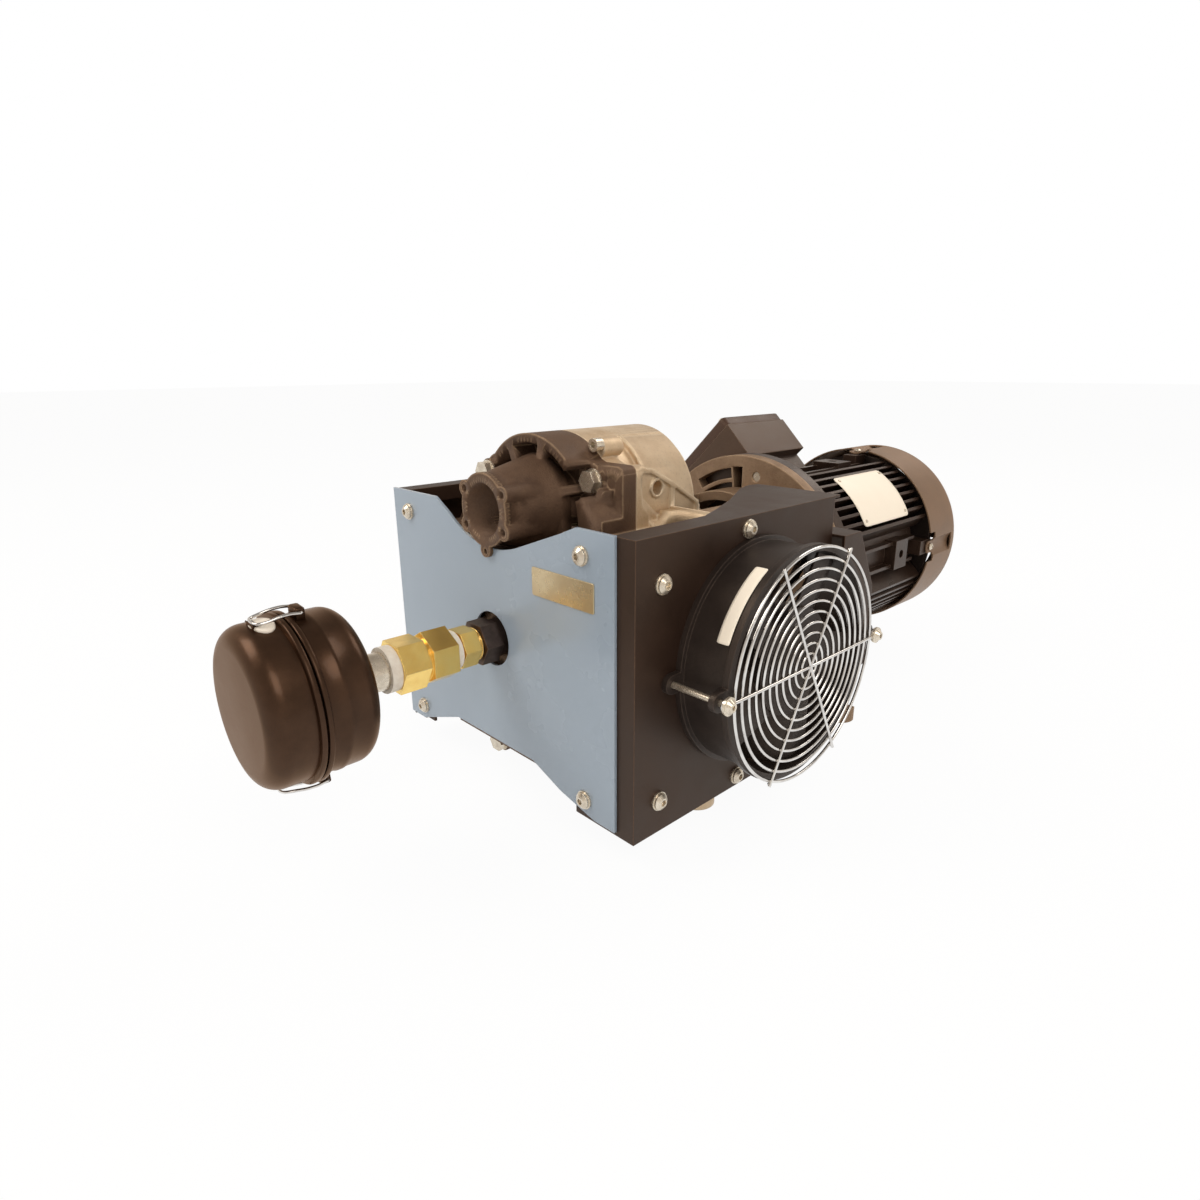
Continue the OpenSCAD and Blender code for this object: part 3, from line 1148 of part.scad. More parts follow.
// Wire clip that hooks into its ear and closes over the seam
module clip(a) color("#c5c6c8") turned(a) {
  z = clip_pivot_r;
  tip_y = clip_y - clip_reach;
  for (s = [-1, 1]) wire_path([[s * 1.2, clip_y, z], [s * clip_half, clip_y, z],
    [s * clip_half, tip_y, z - clip_drop], [0, tip_y, z - clip_drop]], clip_wire_r);
}
module clip_left() clip(clip_angles[0]);
module clip_low() clip(clip_angles[1]);

front_panel();
cooling_shroud();
air_guide();
outlet_sheet();
sheet_screws();
shroud_spacers();
fan_housing();
fan_impeller();
fan_guard();
guard_screws();
fixed_scroll();
fixed_tip_seal();
orbiting_scroll();
orbiting_tip_seal();
case_seal();
case_bolts();
center_housing();
crankshaft();
counterweight();
scroll_bearings();
main_bearings();
bearing_cap();
shaft_seal();
crank_top();
crank_left();
crank_right();
crank_bearings();
motor_adapter();
adapter_bolts();
pump_hub();
coupling_spider();
motor_hub();
motor_flange();
flange_bolts();
motor_frame();
motor_rotor();
stator_core();
stator_winding();
motor_bearings();
motor_fan();
rear_shield();
fan_cowl();
terminal_box();
terminal_lid();
motor_screws();
terminal_block();
cable_gland();
outlet_bushing();
brass_adapter();
valve_body();
valve_inside();
valve_poppet();
valve_spring();
pipe_nipple();
canister_base();
canister_cap();
filter_element();
clip_left();
clip_low();
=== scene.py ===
import math

import bmesh
import bpy
from mathutils import Matrix, Vector


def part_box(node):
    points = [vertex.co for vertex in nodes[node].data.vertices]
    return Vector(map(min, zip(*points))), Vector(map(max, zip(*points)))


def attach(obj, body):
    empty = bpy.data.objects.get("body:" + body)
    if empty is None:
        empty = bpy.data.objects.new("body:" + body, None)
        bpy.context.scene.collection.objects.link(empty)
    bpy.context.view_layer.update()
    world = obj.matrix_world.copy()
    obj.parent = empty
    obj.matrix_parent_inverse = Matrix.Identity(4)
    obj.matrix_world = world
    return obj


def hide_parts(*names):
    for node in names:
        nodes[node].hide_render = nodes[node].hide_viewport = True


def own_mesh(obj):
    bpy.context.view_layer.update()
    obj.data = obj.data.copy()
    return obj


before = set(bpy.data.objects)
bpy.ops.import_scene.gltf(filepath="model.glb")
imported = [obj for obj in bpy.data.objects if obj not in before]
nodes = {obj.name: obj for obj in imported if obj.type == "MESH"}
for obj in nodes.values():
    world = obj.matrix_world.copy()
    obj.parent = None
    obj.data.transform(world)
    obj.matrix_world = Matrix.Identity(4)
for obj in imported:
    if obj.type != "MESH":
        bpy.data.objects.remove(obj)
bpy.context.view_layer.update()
print("frame loaded:", len(nodes), "pieces")

shaftHeight = 0.115  # the shaft runs along y at this height
shaftLine = Vector((0, 0, shaftHeight))

# camera
viewSettings = {
    "place": (0.40062, -0.45889, 0.29170),
    "right": (0.68425982, 0.72921181, -0.00621533),
    "up": (-0.21348666, 0.20846144, 0.95444606),
    "forward": (-0.69728899, 0.6517622, -0.29831878),
    "lens": 22.614,
    "sensor": 36.0,
    "clip": (0.01, 40),
}


def makeCamera(view):
    data = bpy.data.cameras.new("viewCamera")
    data.lens = view["lens"]
    data.sensor_width = view["sensor"]
    data.clip_start, data.clip_end = view["clip"]
    camera = bpy.data.objects.new("viewCamera", data)
    turn = Matrix((view["right"], view["up"], [-v for v in view["forward"]])).transposed()
    camera.matrix_world = Matrix.Translation(view["place"]) @ turn.to_4x4()
    bpy.context.collection.objects.link(camera)
    bpy.context.scene.camera = camera


makeCamera(viewSettings)


def tone(red, green, blue):
    # sRGB 0-255 to the linear colour that a shader socket takes
    out = []
    for v in (red, green, blue):
        v /= 255
        out.append(v / 12.92 if v < 0.04045 else ((v + 0.055) / 1.055) ** 2.4)
    return (*out, 1.0)


# finishes
# tones: main and second colour; patch: size of the colour patches and how far they show;
# grain: size of the surface grain and its depth; rough: lowest and highest roughness;
# edge: radius of a rounded edge, how far its brighter colour shows and that colour, which is partly wear and partly a
# painted highlight; tint: colour of the gloss
warmGloss = (1.0, 0.80, 0.64)
deepGloss = (1.0, 0.74, 0.56)
finishSettings = {
    "bluePaint": dict(tones=((142, 158, 175), (149, 164, 179)), patch=(0.16, 0.9), grain=(0.0012, 0.05),
                      rough=(0.20, 0.30), metal=0.0, coat=0.35, edge=(0.0007, 0.4, (206, 214, 220))),
    "blackSheet": dict(tones=((34, 22, 17), (44, 30, 23)), patch=(0.05, 0.5), grain=(0.0009, 0.10),
                       rough=(0.42, 0.56), metal=0.0, tint=(1.0, 0.72, 0.52), edge=(0.0010, 0.35, (150, 118, 98))),
    "zincPlate": dict(tones=((226, 216, 198), (198, 186, 168)), patch=(0.006, 0.6), grain=(0.0008, 0.05),
                      rough=(0.18, 0.36), metal=0.8, edge=(0.0004, 0.5, (252, 244, 226))),
    "darkCasting": dict(tones=((74, 56, 45), (104, 81, 64)), patch=(0.02, 0.8), grain=(0.0011, 0.34),
                        rough=(0.42, 0.62), metal=0.35, pits=0.5, tint=warmGloss, edge=(0.0022, 0.55, (206, 176, 142))),
    "brightCasting": dict(tones=((222, 199, 166), (190, 164, 132)), patch=(0.02, 0.8), grain=(0.0010, 0.26),
                          rough=(0.34, 0.55), metal=0.55, pits=0.5, edge=(0.0024, 0.5, (250, 236, 210))),
    "brownCasting": dict(tones=((152, 128, 104), (120, 98, 78)), patch=(0.02, 0.8), grain=(0.0012, 0.30),
                         rough=(0.40, 0.60), metal=0.4, pits=0.5, tint=warmGloss, edge=(0.0018, 0.5, (214, 186, 154))),
    "groundSteel": dict(tones=((178, 178, 176), (150, 150, 150)), patch=(0.01, 0.5), grain=(0.0006, 0.06),
                        rough=(0.20, 0.34), metal=1.0),
    "weightIron": dict(tones=((84, 86, 88), (66, 68, 70)), patch=(0.01, 0.6), grain=(0.0010, 0.22),
                       rough=(0.44, 0.60), metal=0.6),
    "whiteSeal": dict(tones=((238, 232, 220), (222, 212, 198)), patch=(0.004, 0.6), grain=(0.0005, 0.18),
                      rough=(0.48, 0.62), metal=0.0),
    "blackRubber": dict(tones=((26, 25, 25), (36, 34, 33)), patch=(0.01, 0.5), grain=(0.0007, 0.20),
                        rough=(0.60, 0.75), metal=0.0),
    "redRubber": dict(tones=((150, 42, 34), (122, 32, 26)), patch=(0.006, 0.5), grain=(0.0007, 0.18),
                      rough=(0.50, 0.66), metal=0.0),
    "blackPlastic": dict(tones=((32, 27, 26), (46, 39, 36)), patch=(0.03, 0.5), grain=(0.0009, 0.14),
                         rough=(0.36, 0.50), metal=0.0, tint=warmGloss, edge=(0.0008, 0.2, (120, 100, 88))),
    "chromeWire": dict(tones=((228, 226, 222), (204, 200, 196)), patch=(0.01, 0.5), grain=(0.0010, 0.02),
                       rough=(0.06, 0.14), metal=1.0),
    "blackMotor": dict(tones=((34, 24, 19), (50, 37, 30)), patch=(0.03, 0.6), grain=(0.0014, 0.16),
                       rough=(0.26, 0.42), metal=0.0, tint=deepGloss, edge=(0.0008, 0.3, (128, 106, 92))),
    "brownCowl": dict(tones=((114, 91, 72), (130, 105, 84)), patch=(0.05, 0.5), grain=(0.0010, 0.10),
                      rough=(0.34, 0.46), metal=0.25, tint=warmGloss, edge=(0.0012, 0.35, (190, 164, 138))),
    "boxPlastic": dict(tones=((58, 38, 30), (68, 47, 38)), patch=(0.04, 0.5), grain=(0.0008, 0.16),
                       rough=(0.40, 0.54), metal=0.0, tint=warmGloss, edge=(0.0016, 0.4, (184, 158, 134))),
    "boxBody": dict(tones=((62, 46, 36), (74, 56, 45)), patch=(0.04, 0.5), grain=(0.0008, 0.16),
                    rough=(0.40, 0.54), metal=0.0, tint=(1.0, 0.76, 0.58), edge=(0.0016, 0.35, (150, 124, 104))),
    "stackedSteel": dict(tones=((112, 106, 100), (90, 86, 82)), patch=(0.004, 0.6), grain=(0.0006, 0.20),
                         rough=(0.40, 0.55), metal=0.8),
    "copperWinding": dict(tones=((186, 98, 54), (150, 74, 40)), patch=(0.003, 0.7), grain=(0.0012, 0.5),
                          rough=(0.28, 0.42), metal=0.8),
    "yellowBrass": dict(tones=((252, 220, 134), (238, 198, 106)), patch=(0.010, 0.8), grain=(0.0006, 0.04),
                        rough=(0.14, 0.24), metal=0.8, lines="turned", edge=(0.0005, 0.5, (255, 240, 190))),
    "blackCan": dict(tones=((58, 40, 28), (72, 51, 37)), patch=(0.03, 0.5), grain=(0.0008, 0.04),
                     rough=(0.30, 0.38), metal=0.75, coat=0.08, tint=deepGloss),
    "filterFelt": dict(tones=((216, 208, 186), (198, 188, 164)), patch=(0.004, 0.6), grain=(0.0006, 0.5),
                       rough=(0.80, 0.95), metal=0.0),
    "brownResin": dict(tones=((104, 46, 32), (86, 38, 28)), patch=(0.01, 0.5), grain=(0.0008, 0.1),
                       rough=(0.34, 0.46), metal=0.0),
    "blackSteel": dict(tones=((82, 70, 66), (58, 50, 47)), patch=(0.008, 0.6), grain=(0.0007, 0.10),
                       rough=(0.28, 0.42), metal=0.7, tint=warmGloss, edge=(0.0006, 0.4, (150, 126, 108))),
    "plateMetal": dict(tones=((204, 186, 150), (188, 168, 132)), patch=(0.02, 0.5), grain=(0.0005, 0.03),
                       rough=(0.24, 0.34), metal=0.7, lines="brushed"),
    "paperLabel": dict(tones=((252, 243, 226), (248, 238, 220)), patch=(0.03, 0.9), grain=(0.0006, 0.06),
                       rough=(0.46, 0.58), metal=0.0),
    "paleFloor": dict(tones=((252, 252, 252), (250, 250, 250)), patch=(0.3, 0.4), grain=(0.002, 0.01),
                      rough=(0.70, 0.80), metal=0.0, open=True),
}
# what all finishes share
sharedSettings = {
    "patchDetail": 5.0, "patchRough": 0.62, "patchSpread": 0.3, "grainDetail": 3.0, "grainRough": 0.55,
    "glossSpan": (0.3, 0.7), "coatRough": 0.12,
    "pitSize": 2.4, "pitSpan": (0.05, 0.35), "pitDark": 0.72,
    "turned": (20, 900, 20), "brushed": (30, 30, 1400), "lineDetail": 4.0, "lineRough": 0.7, "lineDepth": 1.6,
    "edgeSamples": 4, "edgeSpan": (0.99, 0.86),
    "backdrop": 0.95,
}


def fill(tree, socket, value):
    # a socket takes a plain value or another node's output
    if isinstance(value, bpy.types.NodeSocket):
        tree.links.new(value, socket)
    else:
        socket.default_value = value


def addNode(tree, kind, place=(0, 0), **sockets):
    node = tree.nodes.new(kind)
    node.location = place
    for name, value in sockets.items():
        fill(tree, node.inputs[name.replace("_", " ")], value)
    return node


def addInOrder(tree, kind, place, values, operation=None):
    # for nodes whose sockets share a name
    node = addNode(tree, kind, place)
    if operation:
        node.operation = operation
    for socket, value in zip(node.inputs, values):
        fill(tree, socket, value)
    return node


def addMath(tree, operation, place, *values):
    return addInOrder(tree, "ShaderNodeMath", place, values, operation).outputs[0]


def addRange(tree, place, value, span, low, high):
    return addNode(tree, "ShaderNodeMapRange", place, Value=value, From_Min=span[0], From_Max=span[1],
                   To_Min=low, To_Max=high).outputs["Result"]


def addMix(tree, place, factor, first, second, blend="MIX"):
    mix = addNode(tree, "ShaderNodeMix", place)
    mix.data_type = "RGBA"
    mix.blend_type = blend
    fill(tree, mix.inputs["Factor"], factor)
    fill(tree, mix.inputs["A"], first)
    fill(tree, mix.inputs["B"], second)
    return mix.outputs["Result"]


def makeFinish(name, look, shared):
    material = bpy.data.materials.new(name)
    material.use_nodes = True
    tree = material.node_tree
    tree.nodes.clear()
    output = addNode(tree, "ShaderNodeOutputMaterial", (900, 0))
    place = addNode(tree, "ShaderNodeTexCoord", (-900, 0)).outputs["Object"]
    patchSize, patchShow = look["patch"]
    patches = addNode(tree, "ShaderNodeTexNoise", (-600, 200), Vector=place, Scale=1 / patchSize,
                      Detail=shared["patchDetail"], Roughness=shared["patchRough"]).outputs["Fac"]
    spread = addNode(tree, "ShaderNodeValToRGB", (-350, 200), Fac=patches)
    for k, side in enumerate((-1, 1)):
        spread.color_ramp.elements[k].position = 0.5 + side * shared["patchSpread"] * patchShow
        spread.color_ramp.elements[k].color = tone(*look["tones"][k])
    colour = spread.outputs["Color"]
    grainSize, grainDepth = look["grain"]
    height = addNode(tree, "ShaderNodeTexNoise", (-600, -300), Vector=place, Scale=1 / grainSize,
                     Detail=shared["grainDetail"], Roughness=shared["grainRough"]).outputs["Fac"]
    if look.get("pits"):  # the sand mould leaves small pits; the colour is darker in them and the bump lower
        pits = addNode(tree, "ShaderNodeTexVoronoi", (-600, -560), Vector=place,
                       Scale=1 / (grainSize * shared["pitSize"])).outputs["Distance"]
        pitMask = addRange(tree, (-350, -560), pits, shared["pitSpan"], shared["pitDark"], 1.0)
        colour = addMix(tree, (-50, 200), look["pits"], colour, pitMask, "MULTIPLY")
        height = addMath(tree, "MULTIPLY", (-100, -420), height, pitMask)
    if look.get("lines"):  # fine lines left by the tool, round the shaft or along a plate
        stretch = addNode(tree, "ShaderNodeMapping", (-750, -820), Vector=place, Scale=shared[look["lines"]])
        lines = addNode(tree, "ShaderNodeTexNoise", (-550, -820), Vector=stretch.outputs["Vector"], Scale=1.0,
                        Detail=shared["lineDetail"], Roughness=shared["lineRough"]).outputs["Fac"]
        height = addMath(tree, "MULTIPLY_ADD", (-100, -700), lines, shared["lineDepth"], height)
    bump = addNode(tree, "ShaderNodeBump", (250, -300), Height=height, Strength=min(1.0, grainDepth * 2),
                   Distance=grainSize * 0.5)
    if look.get("edge"):  # cast and folded edges are rounded, and painted brighter: partly wear, partly a painted highlight
        radius, wearAndHighlight, wearAndHighlightTone = look["edge"]
        edges = addNode(tree, "ShaderNodeBevel", (-350, -1000), Radius=radius)
        edges.samples = shared["edgeSamples"]
        fill(tree, bump.inputs["Normal"], edges.outputs["Normal"])
        flat = addNode(tree, "ShaderNodeNewGeometry", (-350, -1200))
        turn = addInOrder(tree, "ShaderNodeVectorMath", (-100, -1100),
                          (edges.outputs["Normal"], flat.outputs["Normal"]), "DOT_PRODUCT").outputs["Value"]
        # the edge colour stands partly for wear and partly for a painted highlight
        wearAndHighlightMask = addRange(tree, (100, -1100), turn, shared["edgeSpan"], 0.0, wearAndHighlight)
        colour = addMix(tree, (400, 200), wearAndHighlightMask, colour, tone(*wearAndHighlightTone))
    surface = addNode(tree, "ShaderNodeBsdfPrincipled", (600, 0), Base_Color=colour, Metallic=look["metal"],
                      Roughness=addRange(tree, (-350, -120), patches, shared["glossSpan"], *look["rough"]),
                      Normal=bump.outputs["Normal"], Specular_Tint=(*look.get("tint", (1.0, 1.0, 1.0)), 1.0),
                      Coat_Weight=look.get("coat", 0.0), Coat_Roughness=shared["coatRough"]).outputs["BSDF"]
    if look.get("open"):  # the camera and gloss see it as plain white, and shadows stay
        ray = addNode(tree, "ShaderNodeLightPath", (-100, 500)).outputs
        seen = addMath(tree, "MAXIMUM", (100, 500), ray["Is Camera Ray"], ray["Is Glossy Ray"])
        amount = addMath(tree, "MULTIPLY", (350, 500), seen, shared["backdrop"])
        glow = addNode(tree, "ShaderNodeEmission", (600, 300), Color=(1, 1, 1, 1), Strength=1.0)
        surface = addInOrder(tree, "ShaderNodeMixShader", (750, 200),
                             (amount, surface, glow.outputs["Emission"])).outputs["Shader"]
    fill(tree, output.inputs["Surface"], surface)
    return material


finishes = {name: makeFinish(name, look, sharedSettings) for name, look in finishSettings.items()}

# which finish each carried-over piece has
nodeFinish = {
    "bluePaint": ["front_panel"],
    "blackSheet": ["cooling_shroud", "air_guide", "outlet_sheet"],
    "zincPlate": ["sheet_screws", "shroud_spacers", "guard_screws", "case_bolts", "adapter_bolts", "flange_bolts",
                  "motor_screws", "pipe_nipple", "clip_left", "clip_low"],
    "blackPlastic": ["fan_housing", "fan_impeller", "motor_fan", "cable_gland"],
    "chromeWire": ["fan_guard"],
    "darkCasting": ["fixed_scroll"],
    "brightCasting": ["center_housing", "orbiting_scroll", "pump_hub", "motor_hub"],
    "brownCasting": ["motor_adapter"],
    "whiteSeal": ["fixed_tip_seal", "orbiting_tip_seal", "valve_inside"],
    "blackRubber": ["case_seal", "shaft_seal"],
    "redRubber": ["coupling_spider"],
    "groundSteel": ["crankshaft", "scroll_bearings", "main_bearings", "bearing_cap", "crank_top", "crank_left",
                    "crank_right", "crank_bearings", "motor_bearings", "valve_spring"],
    "weightIron": ["counterweight"],
    "blackMotor": ["motor_flange", "motor_frame", "rear_shield"],
    "stackedSteel": ["motor_rotor", "stator_core"],
    "copperWinding": ["stator_winding"],
    "brownCowl": ["fan_cowl"],
    "boxBody": ["terminal_box"],
    "boxPlastic": ["terminal_lid"],
    "brownResin": ["terminal_block"],
    "blackSteel": ["outlet_bushing"],
    "yellowBrass": ["brass_adapter", "valve_body", "valve_poppet"],
    "blackCan": ["canister_base", "canister_cap"],
    "filterFelt": ["filter_element"],
}


def paint(piece, finish):
    piece.data.materials.clear()
    piece.data.materials.append(finishes[finish])
    for face in piece.data.polygons:
        face.material_index = 0


for finish, names in nodeFinish.items():
    for name in names:
        paint(nodes[name], finish)
print("finishes given to", sum(len(names) for names in nodeFinish.values()), "pieces")


# helpers for new pieces
def addPiece(piece, finish, node=None, body="pump", smooth=True, sharp=None):
    # node is the CAD node that the piece stands for; sharp is the angle from which an edge stays sharp
    if not piece.users_collection:
        bpy.context.collection.objects.link(piece)
    paint(piece, finish)
    for face in piece.data.polygons:
        face.use_smooth = smooth
    if sharp:
        piece.data.set_sharp_from_angle(angle=math.radians(sharp))
    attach(piece, body)
    if node:
        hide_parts(node)
    return piece


def fromBmesh(name, bm, linked=False):
    bmesh.ops.remove_doubles(bm, verts=bm.verts, dist=1e-7)
    bmesh.ops.recalc_face_normals(bm, faces=bm.faces)
    if bm.calc_volume(signed=True) < 0:
        bmesh.ops.reverse_faces(bm, faces=bm.faces)
    piece = bpy.data.objects.new(name, bpy.data.meshes.new(name))
    bm.to_mesh(piece.data)
    bm.free()
    if linked:
        bpy.context.collection.objects.link(piece)
    return piece


def aroundShaft(radius, angle, y):
    a = math.radians(angle)
    return Vector((radius * math.cos(a), y, shaftHeight + radius * math.sin(a)))


def axesAt(angle):
    # outward from the shaft at an angle round it, and aside of that
    t = math.radians(angle)
    return Vector((math.cos(t), 0, math.sin(t))), Vector((math.sin(t), 0, -math.cos(t)))


def turnAngles(count):
    return [2 * math.pi * k / count for k in range(count)]


def arc(centre, radius, start, end, steps=12):
    return [(centre[0] + radius * math.cos(t), centre[1] + radius * math.sin(t))
            for t in (math.radians(start + (end - start) * k / steps) for k in range(steps + 1))]


def bridge(bm, rings, closed=False):
    # faces from ring to ring, and from the last to the first where closed
    for a, b in zip(rings, rings[1:] + rings[:1] if closed else rings[1:]):
        for k in range(len(a)):
            m = (k + 1) % len(a)
            bm.faces.new((a[k], a[m], b[m], b[k]))


def capEnds(bm, rings):
    bm.faces.new(rings[0])
    bm.faces.new(rings[-1])


def tubeAlong(bm, points, radius, sides=10, closed=False):
    # a round wire through the points, with its ends capped
    count = len(points)
    rings = []
    side = None
    for i, p in enumerate(points):
        before = points[i - 1] if closed or i else p
        after = points[(i + 1) % count] if closed or i < count - 1 else p
        along = (after - before).normalized()
        if side is None:
            side = along.orthogonal().normalized()
        side = (side - along * side.dot(along)).normalized()
        other = along.cross(side)
        rings.append([bm.verts.new(p + radius * (math.cos(t) * side + math.sin(t) * other))
                      for t in turnAngles(sides)])
    bridge(bm, rings)
    if closed:  # the last ring may meet the first one turned
        a, b = rings[-1], rings[0]
        shift = min(range(sides), key=lambda k: (b[k].co - a[0].co).length)
        bridge(bm, [a, b[shift:] + b[:shift]])
    else:
        capEnds(bm, rings)


def smoothPath(points, steps):
    # rounds a path with a spline that keeps its points
    points = [points[0], *points, points[-1]]
    out = []
    for a, b, c, d in zip(points, points[1:], points[2:], points[3:]):
        for j in range(steps):
            t = j / steps
            out.append(0.5 * ((2 * b) + (c - a) * t + (2 * a - 5 * b + 4 * c - d) * t * t
                              + (3 * b - a - 3 * c + d) * t * t * t))
    return out + [points[-1]]


def latheAlong(bm, profile, sides):
    # turns (radius, along) pairs round the shaft's axis; the profile is a closed loop
    bridge(bm, [[bm.verts.new(aroundShaft(r, 360 * k / sides, y)) for k in range(sides)] for r, y in profile], True)


def joinShapes(base, tools):
    # each tool comes with what it does, and all end as one mesh
    for tool, work in tools:
        bpy.context.collection.objects.link(tool)
        modifier = base.modifiers.new(work, "BOOLEAN")
        modifier.operation = work
        modifier.solver = "EXACT"
        modifier.object = tool
    bpy.context.view_layer.update()
    done = bpy.data.meshes.new_from_object(base.evaluated_get(bpy.context.evaluated_depsgraph_get()))
    base.modifiers.clear()
    base.data = done
    for tool, _ in tools:
        bpy.data.objects.remove(tool)


# plates and labels, all bare
badgeSettings = {"x": (0.0473, 0.1030), "z": (0.1565, 0.1745), "thick": 0.0008, "corner": 0.0012, "edge": 0.0002}


def roundedOutline(width, height, corner, steps=6):
    out = []
    for sx, sy, start in ((1, 1, 0), (-1, 1, 90), (-1, -1, 180), (1, -1, 270)):
        out += arc((sx * (width / 2 - corner), sy * (height / 2 - corner)), corner, start, start + 90, steps)
    return out


def makeBadge(look):
    width, height = look["x"][1] - look["x"][0], look["z"][1] - look["z"][0]
    middleX, middleZ = sum(look["x"]) / 2, sum(look["z"]) / 2
    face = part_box("front_panel")[0].y
    thick, edge = look["thick"], look["edge"]
    outline = roundedOutline(width, height, look["corner"])
    inner = [(u * (1 - edge / max(abs(u), 1e-4)), v * (1 - edge / max(abs(v), 1e-4))) for u, v in outline]
    bm = bmesh.new()
    layers = [[bm.verts.new((middleX + u, face - lift, middleZ + v)) for u, v in loop]
              for loop, lift in ((outline, 0), (outline, thick - edge), (inner, thick))]
    bridge(bm, layers)
    capEnds(bm, layers)
    addPiece(fromBmesh("badgePlate", bm), "plateMetal", smooth=False)


makeBadge(badgeSettings)


def bentPlate(name, place, halfU, halfV, thick, corner, steps, rim=0.7):
    # a thin rounded sheet on a surface: place(u, v, lift) gives the spots, and the rim is thinner
    bm = bmesh.new()
    us, vs = steps
    top, low = {}, {}
    for i in range(us + 1):
        for j in range(vs + 1):
            u, v = halfU * (2 * i / us - 1), halfV * (2 * j / vs - 1)
            cu, cv = max(abs(u) - (halfU - corner), 0), max(abs(v) - (halfV - corner), 0)
            if cu and cv and math.hypot(cu, cv) > corner:  # pull the corner points onto the corner's circle
                k = corner / math.hypot(cu, cv)
                u = math.copysign(halfU - corner + cu * k, u)
                v = math.copysign(halfV - corner + cv * k, v)
            onRim = i in (0, us) or j in (0, vs)
            top[i, j] = bm.verts.new(place(u, v, thick * (rim if onRim else 1)))
            low[i, j] = bm.verts.new(place(u, v, 0))
    for i in range(us):
        for j in range(vs):
            bm.faces.new((top[i, j], top[i + 1, j], top[i + 1, j + 1], top[i, j + 1]))
            bm.faces.new((low[i, j + 1], low[i + 1, j + 1], low[i + 1, j], low[i, j]))
    border = [(i, 0) for i in range(us)] + [(us, j) for j in range(vs)] + [(i, vs) for i in range(us, 0, -1)] \
        + [(0, j) for j in range(vs, 0, -1)]
    for a, b in zip(border, border[1:] + border[:1]):
        bm.faces.new((low[a], low[b], top[b], top[a]))
    addPiece(fromBmesh(name, bm), "paperLabel")


fanLabelSettings = {"radius": 0.0751, "fanY": -0.074, "x": (0.1578, 0.1664), "angles": (22.5, 61.6), "thick": 0.0003,
                    "corner": 0.001, "steps": (36, 6)}


def makeFanLabel(look):
    radius, middleX = look["radius"], sum(look["x"]) / 2
    middleAngle, halfAngle = sum(look["angles"]) / 2, (look["angles"][1] - look["angles"][0]) / 2

    def place(u, v, lift):
        t = math.radians(middleAngle) + u / radius
        r = radius + lift
        return Vector((middleX + v, look["fanY"] - r * math.cos(t), shaftHeight + r * math.sin(t)))

    bentPlate("fanLabel", place, math.radians(halfAngle) * radius, (look["x"][1] - look["x"][0]) / 2, look["thick"],
              look["corner"], look["steps"])


makeFanLabel(fanLabelSettings)

motorPlateSettings = {"radius": 0.0861, "y": (0.168, 0.252), "angles": (24.5, 61.0), "thick": 0.0006, "corner": 0.004,
                      "steps": (28, 28), "rivetIn": 0.005, "rivetRadius": 0.0016, "rivetSides": 16,
                      "rivetShape": ((1.0, -0.0004), (1.0, 0.0002), (0.85, 0.0007), (0.5, 0.0011))}


def makeMotorPlate(look):
    radius, middle, half = look["radius"], sum(look["angles"]) / 2, (look["angles"][1] - look["angles"][0]) / 2
    middleY, halfY = sum(look["y"]) / 2, (look["y"][1] - look["y"][0]) / 2
    halfArc = math.radians(half) * radius

    def place(u, v, lift):
        return aroundShaft(radius + lift, middle + math.degrees(u / radius), middleY + v)

    bentPlate("motorPlate", place, halfArc, halfY, look["thick"], look["corner"], look["steps"])
    bm = bmesh.new()
    for su in (-1, 1):
        for sv in (-1, 1):
            u, v = su * (halfArc - look["rivetIn"]), sv * (halfY - look["rivetIn"])
            rings = [[bm.verts.new(place(u + look["rivetRadius"] * share * math.cos(t),
                                         v + look["rivetRadius"] * share * math.sin(t), look["thick"] + lift))
                      for t in turnAngles(look["rivetSides"])] for share, lift in look["rivetShape"]]
            bridge(bm, rings)
            capEnds(bm, rings)
    addPiece(fromBmesh("plateRivets", bm), "zincPlate")


makeMotorPlate(motorPlateSettings)
print("plates and labels made")

# the fan's wire guard: rings, two bars across it, and a bar with an eye for each long screw
# hook and joggle are in wire radii: how far past the last ring, and how far back
guardSettings = {"rings": 11, "firstRadius": 0.008, "lastRadius": 0.074, "wire": 0.001, "ringX": 0.1752, "barX": 0.1766,
                 "barAngles": (62, 118), "hook": ((1.4, 0.3), (2.1, 1.2)), "joggle": (-3, 1.5), "fanY": -0.074,
                 "loopX": 0.1751, "loopReach": 0.081, "loopRadius": 0.0036, "ringSides": 120, "wireSides": 12}


def nodesMesh(name, values, build):
    # makes a mesh with a Geometry Nodes tree that build() fills in; values are its named inputs
    tree = bpy.data.node_groups.new(name + "Tree", "GeometryNodeTree")
    for way in ("INPUT", "OUTPUT"):
        tree.interface.new_socket("Geometry", in_out=way, socket_type="NodeSocketGeometry")
    keys = {}
    for key, value in values.items():
        kind = "NodeSocketInt" if isinstance(value, int) else "NodeSocketFloat"
        socket = tree.interface.new_socket(key, in_out="INPUT", socket_type=kind)
        socket.default_value = value
        keys[key] = socket.identifier
    build(tree, addNode(tree, "NodeGroupInput", (-900, 0)).outputs, addNode(tree, "NodeGroupOutput", (950, 0)))
    seed = bpy.data.objects.new(name + "Seed", bpy.data.meshes.new(name + "Seed"))
    bpy.context.collection.objects.link(seed)
    modifier = seed.modifiers.new("build", "NODES")
    modifier.node_group = tree
    for key, value in values.items():
        modifier[keys[key]] = value
    bpy.context.view_layer.update()
    done = bpy.data.meshes.new_from_object(seed.evaluated_get(bpy.context.evaluated_depsgraph_get()))
    bpy.data.objects.remove(seed)
    done.name = name
    return bpy.data.objects.new(name, done)


